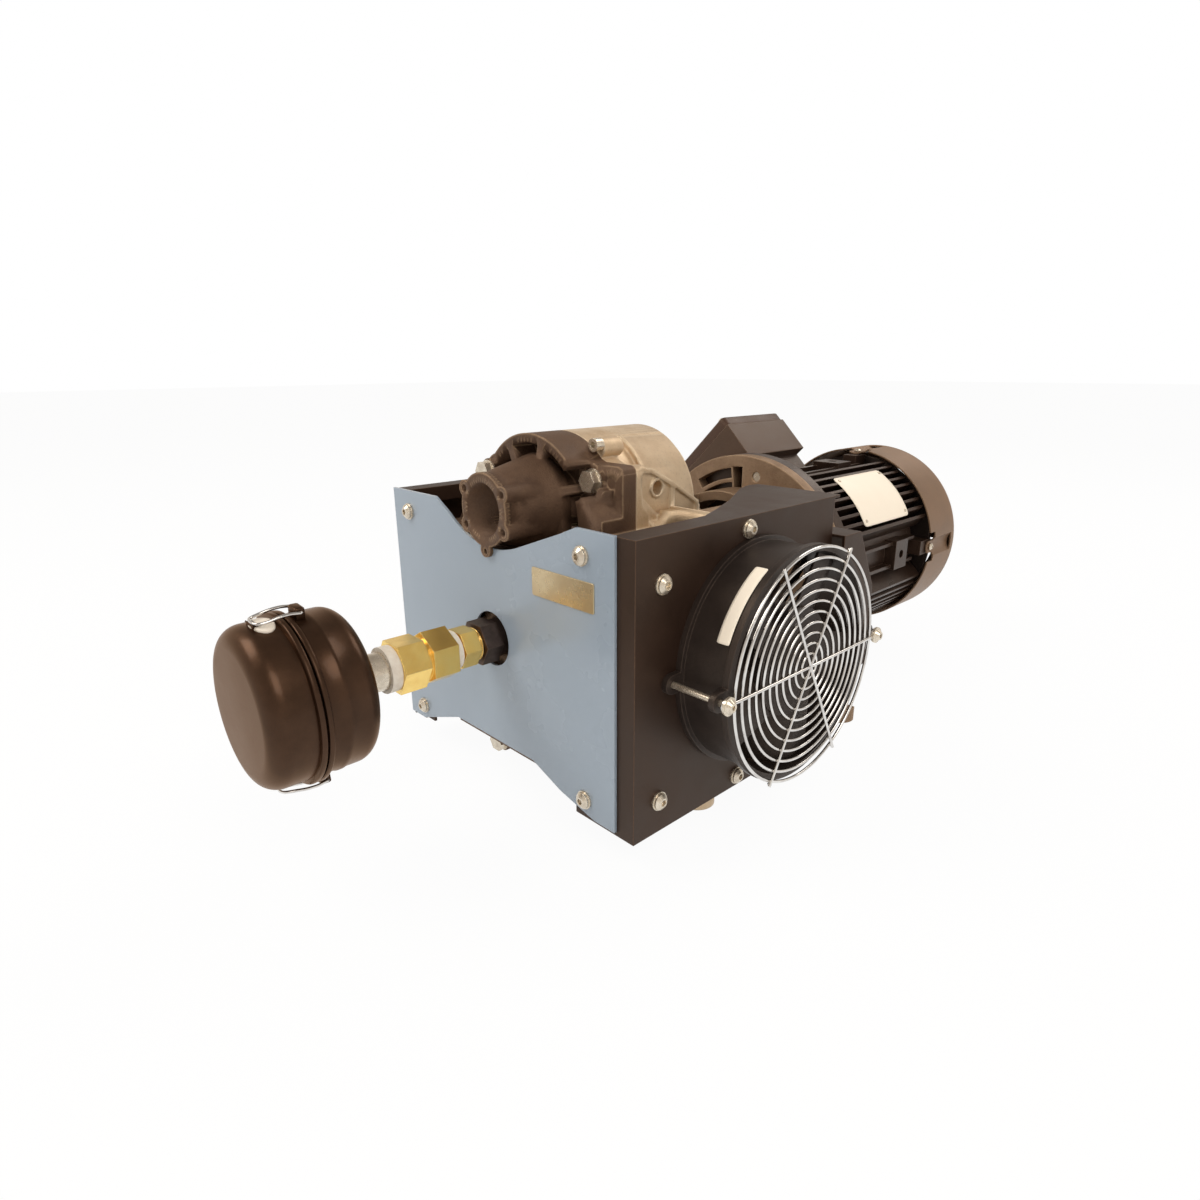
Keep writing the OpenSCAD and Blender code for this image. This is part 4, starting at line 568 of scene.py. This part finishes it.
def guardTree(tree, given, ends, look):
    line = addNode(tree, "GeometryNodeMeshLine", (-650, 200), Count=given["Rings"], Offset=(0, 0, 0))
    index = addNode(tree, "GeometryNodeInputIndex", (-900, -250)).outputs[0]
    grow = addMath(tree, "MULTIPLY_ADD", (-650, -250), index, given["Step"], given["First radius"])
    circle = addNode(tree, "GeometryNodeCurvePrimitiveCircle", (-650, 0), Resolution=look["ringSides"], Radius=1.0)
    spread = addNode(tree, "GeometryNodeInstanceOnPoints", (-450, 100), Points=line.outputs["Mesh"],
                     Instance=circle.outputs["Curve"], Scale=grow)
    real = addNode(tree, "GeometryNodeRealizeInstances", (-250, 100), Geometry=spread.outputs["Instances"])
    even = addNode(tree, "GeometryNodeSetCurveRadius", (-50, 100), Curve=real.outputs["Geometry"], Radius=1.0)
    profile = addNode(tree, "GeometryNodeCurvePrimitiveCircle", (-50, -150), Resolution=look["wireSides"],
                      Radius=given["Wire radius"])
    wire = addNode(tree, "GeometryNodeCurveToMesh", (150, 0), Curve=even.outputs["Curve"],
                   Profile_Curve=profile.outputs["Curve"])
    turn = addNode(tree, "GeometryNodeTransform", (350, 0), Geometry=wire.outputs["Mesh"],
                   Rotation=(0, math.radians(90), 0), Translation=(look["ringX"], look["fanY"], shaftHeight))
    whole = addNode(tree, "GeometryNodeRealizeInstances", (500, 0), Geometry=turn.outputs["Geometry"])
    smooth = addNode(tree, "GeometryNodeSetShadeSmooth", (650, 0), Geometry=whole.outputs["Geometry"])
    coat = addNode(tree, "GeometryNodeSetMaterial", (800, 0), Geometry=smooth.outputs["Geometry"],
                   Material=finishes["chromeWire"])
    fill(tree, ends.inputs["Geometry"], coat.outputs["Geometry"])


def makeGuard(look):
    out, w, fanY, barX, loopX = (look[k] for k in ("lastRadius", "wire", "fanY", "barX", "loopX"))
    step = (out - look["firstRadius"]) / (look["rings"] - 1)
    values = {"Rings": look["rings"], "First radius": look["firstRadius"], "Step": step, "Wire radius": w}
    rings = nodesMesh("guardRings", values, lambda tree, given, ends: guardTree(tree, given, ends, look))
    bm = bmesh.new()
    bm.from_mesh(rings.data)
    bmesh.ops.recalc_face_normals(bm, faces=bm.faces)
    bm.to_mesh(rings.data)
    bm.free()
    addPiece(rings, "chromeWire", "fan_guard")
    bm = bmesh.new()
    for angle in look["barAngles"]:
        a = math.radians(angle)
        half = [(out / 2, 0), (out, 0)] + [(out + past * w, back) for past, back in look["hook"]]
        spots = [(-r, back) for r, back in half[::-1]] + [(0, 0)] + half
        tubeAlong(bm, smoothPath([Vector((barX - back * w, fanY + r * math.cos(a), shaftHeight + r * math.sin(a)))
                                  for r, back in spots], 6), w)
    reach, loopRadius = look["loopReach"], look["loopRadius"]
    half = [(barX, out + look["joggle"][0] * w), (loopX, out + look["joggle"][1] * w), (loopX, reach - loopRadius)]
    spots = [(x, -r) for x, r in half[::-1]] + [(barX, 0)] + half
    tubeAlong(bm, smoothPath([Vector((x, fanY + r, shaftHeight)) for x, r in spots], 8), w)
    for eyeY in (fanY - reach, fanY + reach):
        tubeAlong(bm, [Vector((loopX, eyeY + loopRadius * math.cos(t), shaftHeight + loopRadius * math.sin(t)))
                       for t in turnAngles(28)], w, closed=True)
    addPiece(fromBmesh("guardBars", bm), "chromeWire", "fan_guard")


makeGuard(guardSettings)
print("wire guard made")

# exhaust line
threadSettings = {"from": -0.2020, "to": -0.1990, "crest": 0.0112, "root": 0.0104, "wall": 0.0012, "pitch": 0.0010,
                  "sides": 72}


def makeThread(look):
    inside, pitch = look["root"] - look["wall"], look["pitch"]
    profile = [(inside, look["from"]), (look["root"], look["from"])]
    for k in range(round((look["to"] - look["from"]) / pitch)):
        y = look["from"] + k * pitch
        profile += [(look["crest"], y + 0.5 * pitch), (look["root"], y + pitch)]
    bm = bmesh.new()
    latheAlong(bm, profile + [(inside, look["to"])], look["sides"])
    addPiece(fromBmesh("adapterThread", bm), "yellowBrass", smooth=False)


makeThread(threadSettings)

# the wire clips; turns is where each stands round the can
# arm: share of the half width, way along from the pivot, lift; tip: share, way back from the tip, share of the drop
clipSettings = {"radius": 0.0009, "pivotPlace": 0.051, "pivotY": -0.3135, "tipY": -0.3375, "half": 0.007,
                "ends": 0.0012, "arm": ((0.9, 0, 0), (1, -0.0012, 0), (1, -0.006, 0.0006), (1, -0.012, 0.0002)),
                "tip": ((0.98, 0.006, 0.6), (0.8, 0.0015, 1), (0.35, 0, 1)), "tipDrop": 0.0016,
                "turns": {"clip_left": 86, "clip_low": -78}}


def makeClip(look, node):
    # a bent wire: two arms from the pivot, a kink over the seam and a rounded tip
    outward, aside = axesAt(look["turns"][node])
    half, y0, y1 = look["half"], look["pivotY"], look["tipY"]
    spots = [(look["ends"], y0, 0)] + [(half * share, y0 + way, lift) for share, way, lift in look["arm"]] \
        + [(half * share, y1 + way, -look["tipDrop"] * drop) for share, way, drop in look["tip"]]
    path = [shaftLine + Vector((0, y, 0)) + outward * (look["pivotPlace"] + lift) + aside * u
            for u, y, lift in spots + [(-u, y, lift) for u, y, lift in spots[::-1]]]
    bm = bmesh.new()
    tubeAlong(bm, smoothPath(path, 6), look["radius"])
    addPiece(fromBmesh(node + "Wire", bm), "chromeWire", node, body=node)


for node in clipSettings["turns"]:
    makeClip(clipSettings, node)
print("clips made")

# the check valve's spring, made at one length; in the valve it shortens as the poppet lifts
springSettings = {"from": -0.2437, "to": -0.2341, "fixed": -0.2445, "radius": 0.0052, "wire": 0.0006, "turns": 4,
                  "turnSteps": 24, "lift": 0.0030}


def makeSpring(look):
    steps = look["turns"] * look["turnSteps"]
    path = [aroundShaft(look["radius"], 360 * k / look["turnSteps"],
                        look["from"] + (look["to"] - look["from"]) * k / steps) for k in range(steps + 1)]
    bm = bmesh.new()
    tubeAlong(bm, path, look["wire"], 8)
    coil = addPiece(fromBmesh("springCoil", bm), "groundSteel", "valve_spring")
    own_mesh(coil)


makeSpring(springSettings)

# the terminal box's lid, with rounded corners and rim
lidSettings = {"angle": 135, "corner": 0.0050, "edge": 0.0028, "steps": 5, "sharp": 50}


def makeLid(look):
    outward, across = axesAt(look["angle"])
    axes = (across, Vector((0, 1, 0)), outward)
    spots = [v.co - shaftLine for v in nodes["terminal_lid"].data.vertices]
    spans = [(min(v.dot(axis) for v in spots), max(v.dot(axis) for v in spots)) for axis in axes]
    bm = bmesh.new()
    bmesh.ops.create_cube(bm, size=1)
    for v in bm.verts:
        v.co = Vector([span[place > 0] for span, place in zip(spans, v.co)])
    upright = [e for e in bm.edges if abs(e.verts[0].co.z - e.verts[1].co.z) > 1e-5]
    bmesh.ops.bevel(bm, geom=upright, offset=look["corner"], segments=look["steps"], affect="EDGES", profile=0.5)
    highest = max(v.co.z for v in bm.verts)
    rim = [e for e in bm.edges if all(abs(v.co.z - highest) < 1e-6 for v in e.verts)]
    bmesh.ops.bevel(bm, geom=rim, offset=look["edge"], segments=look["steps"], affect="EDGES", profile=0.5)
    for v in bm.verts:
        v.co = shaftLine + sum((axis * place for axis, place in zip(axes, v.co)), Vector())
    addPiece(fromBmesh("lidShell", bm), "boxPlastic", "terminal_lid", sharp=look["sharp"])


makeLid(lidSettings)
print("terminal lid made")

# castings: the flange's corner ends at the side rib, so that the rib with its hole shows
castSettings = {
    "cutX": (0.0702, 0.140), "cutZ": (0.1900, 0.262),
    "cutY": {"fixed_scroll": (-0.156, -0.1170), "center_housing": (-0.119, -0.1059)},
    "fillX": (0.030, 0.0700), "fillZ": (0.196, 0.2312), "fillY": (-0.1299, -0.1181), "corner": 0.0045,
    "ribX": (0.060, 0.0700), "pocketDeep": 0.0016, "pocketCorner": 0.0025, "clear": 0.002,
    "rib": ((-0.1179, 0.2293), (-0.103, 0.228), (-0.083, 0.218), (-0.056, 0.202), (-0.056, 0.1907), (-0.1015, 0.1940),
            (-0.1179, 0.2075)),
    "pockets": (((-0.1126, 0.2262), (-0.1034, 0.2248), (-0.0850, 0.2155), (-0.0846, 0.1972), (-0.0972, 0.1968),
                 (-0.1125, 0.2105)),
                ((-0.0814, 0.2140), (-0.0590, 0.2010), (-0.0586, 0.1932), (-0.0810, 0.1966))),
    "hole": {"place": (-0.0976, 0.2150), "radius": 0.0047, "deep": 0.009, "rim": 0.0016, "rimDrop": 0.0003,
             "sides": 32},
    "humpZ": 0.195, "humpRadius": 0.054,
    "humpPocket": {"y": (-0.1035, -0.0885), "angles": (36, 64), "span": (-0.0026, 0.01)},
    "ridge": {"y": (-0.0885, -0.0855), "angles": (33, 66), "span": (-0.004, 0.0012)},
    "ear": {"place": (0.0345, 0.2395), "radius": 0.0066, "y": (-0.1179, -0.0975), "dome": 0.005},
    "earScrew": {"place": (0.0370, 0.2420), "radius": 0.0044, "y": (-0.1245, -0.1181), "socket": 0.55,
                 "socketDeep": 0.0035},
    "sharp": 32,
}


def sidePrism(points, x0, x1, corner=0.0):
    # an outline in y and z, extruded along x
    bm = bmesh.new()
    loops = [[bm.verts.new((x, y, z)) for y, z in points] for x in (x0, x1)]
    capEnds(bm, loops)
    bridge(bm, loops)
    if corner:
        bmesh.ops.bevel(bm, geom=[e for e in bm.edges if abs(e.verts[0].co.x - e.verts[1].co.x) > 1e-6],
                        offset=corner, segments=3, affect="EDGES", profile=0.5)
    return fromBmesh("shape", bm)


def rodAlongY(name, place, y0, y1, radius, dome=0.0, sides=40):
    # a round bar along the shaft's direction, with its end at y1 rounded by dome
    profile = [(radius, y0)] + (arc((radius - dome, y1 - dome), dome, 0, 90, 6) if dome else [(radius, y1)])
    bm = bmesh.new()
    loops = [[bm.verts.new((place[0] + r * math.cos(t), y, place[1] + r * math.sin(t))) for t in turnAngles(sides)]
             for r, y in profile]
    bridge(bm, loops)
    capEnds(bm, loops)
    return fromBmesh(name, bm)


def ringSector(z, radius, part, steps=16):
    # part of a ring round an axis along y at height z
    (inner, outer), (y0, y1), angles = part["span"], part["y"], part["angles"]
    bm = bmesh.new()
    loops = [[bm.verts.new((r * math.cos(t), y, z + r * math.sin(t)))
              for r, y in ((radius + inner, y0), (radius + outer, y0), (radius + outer, y1), (radius + inner, y1))]
             for t in (math.radians(angles[0] + (angles[1] - angles[0]) * k / steps) for k in range(steps + 1))]
    bridge(bm, loops)
    capEnds(bm, loops)
    return fromBmesh("shape", bm)


def blockBetween(xs, ys, zs, corner=0.0):
    # a block whose edges along y are rounded
    bm = bmesh.new()
    bmesh.ops.create_cube(bm, size=1)
    for v in bm.verts:
        v.co = Vector([span[place > 0] for span, place in zip((xs, ys, zs), v.co)])
    if corner:
        bmesh.ops.bevel(bm, geom=[e for e in bm.edges if abs(e.verts[0].co.y - e.verts[1].co.y) > 1e-6],
                        offset=corner, segments=4, affect="EDGES", profile=0.5)
    return fromBmesh("block", bm)


def copyOf(node, name):
    bm = bmesh.new()
    bm.from_mesh(nodes[node].data)
    bmesh.ops.remove_doubles(bm, verts=bm.verts, dist=1e-6)
    piece = bpy.data.objects.new(name, bpy.data.meshes.new(name))
    bm.to_mesh(piece.data)
    bm.free()
    bpy.context.collection.objects.link(piece)
    return piece


def makeScrollCasting(look):
    scroll = copyOf("fixed_scroll", "scrollCasting")
    joinShapes(scroll, [
        (blockBetween(look["fillX"], look["fillY"], look["fillZ"], look["corner"]), "UNION"),
        (blockBetween(look["cutX"], look["cutY"]["fixed_scroll"], look["cutZ"]), "DIFFERENCE")])
    addPiece(scroll, "darkCasting", "fixed_scroll", sharp=look["sharp"])


def makeHousingCasting(look):
    housing = copyOf("center_housing", "housingCasting")
    x0, x1 = look["ribX"]
    hole, ear, clear = look["hole"], look["ear"], look["clear"]

    def ringAround(r):
        return [(hole["place"][0] + r * math.cos(t), hole["place"][1] + r * math.sin(t))
                for t in turnAngles(hole["sides"])]

    tools = [(blockBetween(look["cutX"], look["cutY"]["center_housing"], look["cutZ"]), "DIFFERENCE"),
             (sidePrism(look["rib"], x0, x1), "UNION")]
    tools += [(sidePrism(points, x1 - look["pocketDeep"], x1 + clear, look["pocketCorner"]), "DIFFERENCE")
              for points in look["pockets"]]
    tools += [(sidePrism(ringAround(hole["radius"] + hole["rim"]), x0, x1 - hole["rimDrop"]), "UNION"),
              (sidePrism(ringAround(hole["radius"]), x1 - hole["deep"], x1 + clear), "DIFFERENCE"),
              (ringSector(look["humpZ"], look["humpRadius"], look["humpPocket"]), "DIFFERENCE"),
              (ringSector(look["humpZ"], look["humpRadius"], look["ridge"]), "UNION"),
              (rodAlongY("shape", ear["place"], *ear["y"], ear["radius"], ear["dome"]), "UNION")]
    joinShapes(housing, tools)
    addPiece(housing, "brightCasting", "center_housing", sharp=look["sharp"])


def makeEarScrew(look, screw):
    front, back = screw["y"]
    head = rodAlongY("earScrew", screw["place"], back, front, screw["radius"])
    bpy.context.collection.objects.link(head)
    socket = rodAlongY("socket", screw["place"], front - 0.001, front + screw["socketDeep"],
                       screw["radius"] * screw["socket"], sides=6)
    joinShapes(head, [(socket, "DIFFERENCE")])
    addPiece(head, "zincPlate", sharp=look["sharp"])


makeScrollCasting(castSettings)
makeHousingCasting(castSettings)
makeEarScrew(castSettings, castSettings["earScrew"])
print("castings made")

# the silencer's two pressed shells, with a rolled seam, smooth corners and the clips' ears
# places are along y; roll: radius of the rolled edge and where its second round is; ear: width, length and height
canSettings = {"radius": 0.0465, "bead": 0.0495, "rear": -0.288, "seam": -0.322, "front": -0.350, "wall": 0.0015,
               "frontCorner": 0.0115, "rearCorner": 0.0095, "pipe": 0.0121, "collar": (0.022, 0.008), "half": 0.0004,
               "roll": (0.0010, 0.0022), "rollEnd": 0.0036, "sides": 128, "step": (-0.3085, 0.0006, 0.0024),
               "ear": (0.0100, 0.0060, 0.0067), "earEdge": 0.0014, "earHole": 0.00105, "sunk": 0.0008, "sharp": 40,
               "pad": {"angle": 86, "y": -0.3325, "u": 0.0105, "v": 0.0062, "sides": 40,
                       "shape": ((1, -0.0005), (1, 0.00068), (0.93, 0.001445), (0.8, 0.0017), (0.5, 0.0017))},
               "catch": {"y": (-0.3385, -0.3360), "half": 0.0045, "high": 0.0022, "edge": 0.0006}}


def onCan(angle, y, u, high, look):
    # a place on the can's side: u runs round it, high is outward
    t = math.radians(angle) + u / look["radius"]
    r = look["radius"] + high
    return Vector((r * math.cos(t), y, shaftHeight + r * math.sin(t)))


def shellOf(name, profile, sides):
    bm = bmesh.new()
    latheAlong(bm, profile, sides)
    return fromBmesh(name, bm, linked=True)


def makeCap(look):
    r, bead, seam, front, wall = (look[k] for k in ("radius", "bead", "seam", "front", "wall"))
    gap, c, sunk, catch = look["half"], look["frontCorner"], look["sunk"], look["catch"]
    roll, second = look["roll"]
    outer = [(r - wall, seam - gap)] + arc((bead - roll, seam - gap - roll), roll, 90, 0, 5) \
        + arc((bead - roll, seam - gap - second), roll, 0, -75, 5) + [(r, seam - gap - look["rollEnd"])] \
        + arc((r - c, front + c), c, 0, -90) + [(0, front)]
    inner = [(0, front + wall)] + arc((r - c, front + c), c - wall, -90, 0)
    cap = shellOf("capShell", outer + inner, look["sides"])
    tools = []
    for angle in clipSettings["turns"].values():  # the lip that a clip's tip snaps over
        bm = bmesh.new()
        bmesh.ops.create_cube(bm, size=1)
        for v in bm.verts:
            v.co = onCan(angle, catch["y"][v.co.y > 0], math.copysign(catch["half"], v.co.x),
                         catch["high"] if v.co.z > 0 else -sunk, look)
        bmesh.ops.bevel(bm, geom=list(bm.edges), offset=catch["edge"], segments=2, affect="EDGES", profile=0.5)
        tools.append((fromBmesh("catch", bm), "UNION"))
    joinShapes(cap, tools)
    addPiece(cap, "blackCan", "canister_cap", sharp=look["sharp"])


def makePad(look, pad):
    bm = bmesh.new()
    rings = [[bm.verts.new(onCan(pad["angle"], pad["y"] + share * pad["v"] * math.sin(t),
                                 share * pad["u"] * math.cos(t), high, look)) for t in turnAngles(pad["sides"])]
             for share, high in pad["shape"]]
    bridge(bm, rings)
    capEnds(bm, rings)
    addPiece(fromBmesh("capPad", bm), "whiteSeal")


def makeBase(look):
    r, bead, seam, rear, wall = (look[k] for k in ("radius", "bead", "seam", "rear", "wall"))
    gap, d, pipe = look["half"], look["rearCorner"], look["pipe"]
    roll, second = look["roll"]
    stepY, stepHigh, stepHalf = look["step"]
    collar, collarDeep = look["collar"]
    outer = [(pipe, rear)] + arc((r - d, rear - d), d, 90, 0) \
        + [(r, stepY + stepHalf), (r + stepHigh, stepY + stepHalf / 2), (r + stepHigh, stepY - stepHalf / 2),
           (r, stepY - stepHalf), (r, seam + gap + look["rollEnd"])] \
        + arc((bead - roll, seam + gap + second), roll, 75, 0, 5) \
        + arc((bead - roll, seam + gap + roll), roll, 0, -90, 5) + [(r - wall, seam + gap)]
    inner = arc((r - d, rear - d), d - wall, 0, 90) \
        + [(collar, rear - wall), (collar, rear - collarDeep), (pipe, rear - collarDeep)]
    base = shellOf("baseShell", outer + inner, look["sides"])
    addPiece(base, "blackCan", "canister_base", sharp=look["sharp"])


def makeEar(look, node, angle):
    # made lying flat, with its pivot's bore, and then turned to its place on the base's side
    width, deep, high = look["ear"]
    bm = bmesh.new()
    bmesh.ops.create_cube(bm, size=1)
    for v in bm.verts:
        v.co = Vector((v.co.x * width, v.co.y * deep, high if v.co.z > 0 else -look["sunk"]))
    bmesh.ops.bevel(bm, geom=list(bm.edges), offset=look["earEdge"], segments=3, affect="EDGES", profile=0.5)
    ear = fromBmesh(node.replace("clip_", "ear_"), bm, linked=True)
    lift = clipSettings["pivotPlace"] - look["radius"]
    bm = bmesh.new()
    tubeAlong(bm, [Vector((-width, 0, lift)), Vector((width, 0, lift))], look["earHole"], 16)
    joinShapes(ear, [(fromBmesh("bore", bm), "DIFFERENCE")])
    outward, aside = axesAt(angle)
    middle = shaftLine + Vector((0, clipSettings["pivotY"], 0))
    for v in ear.data.vertices:
        x, y, z = v.co
        v.co = middle + aside * x + Vector((0, y, 0)) + outward * (look["radius"] + z)
    addPiece(ear, "blackCan", "canister_base", sharp=look["sharp"])


makeCap(canSettings)
makePad(canSettings, canSettings["pad"])
makeBase(canSettings)
for node, angle in clipSettings["turns"].items():
    makeEar(canSettings, node, angle)
print("silencer made")

# floor and light
lightSettings = {
    "world": (1.0, 0.93, 0.86), "worldLevel": 0.86, "fade": (0.10, 0.80), "overhead": 0.36, "target": (0, 0, 0.12),
    "lamps": [  # place, size, watts, colour
        ((-0.9, -1.3, 1.7), 1.1, 20, (1.0, 0.93, 0.85)),
        ((1.3, -0.5, 1.5), 1.0, 13, (1.0, 0.93, 0.86)),
        ((0.2, 1.4, 1.6), 1.0, 11, (1.0, 0.95, 0.90)),
    ],
}
floorSettings = {"size": 12, "drop": 0.0005}


def makeWorld(look):
    world = bpy.data.worlds.new("studio")
    bpy.context.scene.world = world
    world.use_nodes = True
    tree = world.node_tree
    tree.nodes.clear()
    output = addNode(tree, "ShaderNodeOutputWorld", (700, 0))
    place = addNode(tree, "ShaderNodeTexCoord", (-700, 0))
    split = addNode(tree, "ShaderNodeSeparateXYZ", (-500, 0), Vector=place.outputs["Generated"])
    fade = addNode(tree, "ShaderNodeMapRange", (-300, 0), Value=split.outputs["Z"], From_Min=look["fade"][0],
                   From_Max=look["fade"][1])
    fade.interpolation_type = "SMOOTHSTEP"
    colour = addMix(tree, (-50, 0), fade.outputs["Result"], (*look["world"], 1),
                    (*[v * look["overhead"] for v in look["world"]], 1))
    room = addNode(tree, "ShaderNodeBackground", (200, -150), Color=colour, Strength=look["worldLevel"])
    white = addNode(tree, "ShaderNodeBackground", (200, 150), Color=(1, 1, 1, 1))  # only the camera sees it
    ray = addNode(tree, "ShaderNodeLightPath", (200, 500))
    mix = addInOrder(tree, "ShaderNodeMixShader", (450, 0),
                     (ray.outputs["Is Camera Ray"], room.outputs[0], white.outputs[0]))
    fill(tree, output.inputs["Surface"], mix.outputs[0])


def makeLamps(look):
    for k, (place, size, watts, colour) in enumerate(look["lamps"]):
        data = bpy.data.lights.new(f"softLamp{k}", "AREA")
        data.shape = "SQUARE"
        data.size = size
        data.energy = watts
        data.color = colour
        lamp = bpy.data.objects.new(f"softLamp{k}", data)
        lamp.location = place
        lamp.rotation_euler = (Vector(look["target"]) - Vector(place)).to_track_quat("-Z", "Y").to_euler()
        bpy.context.collection.objects.link(lamp)


def makeFloor(look):
    bm = bmesh.new()
    bmesh.ops.create_grid(bm, x_segments=2, y_segments=2, size=look["size"])
    floor = bpy.data.objects.new("paleFloor", bpy.data.meshes.new("paleFloor"))
    bm.to_mesh(floor.data)
    bm.free()
    floor.location = (0, 0, -look["drop"])
    bpy.context.collection.objects.link(floor)
    floor.data.materials.append(finishes["paleFloor"])


makeWorld(lightSettings)
makeLamps(lightSettings)
makeFloor(floorSettings)
bpy.context.scene.view_settings.view_transform = "Standard"
print("floor and light set")

print("done")
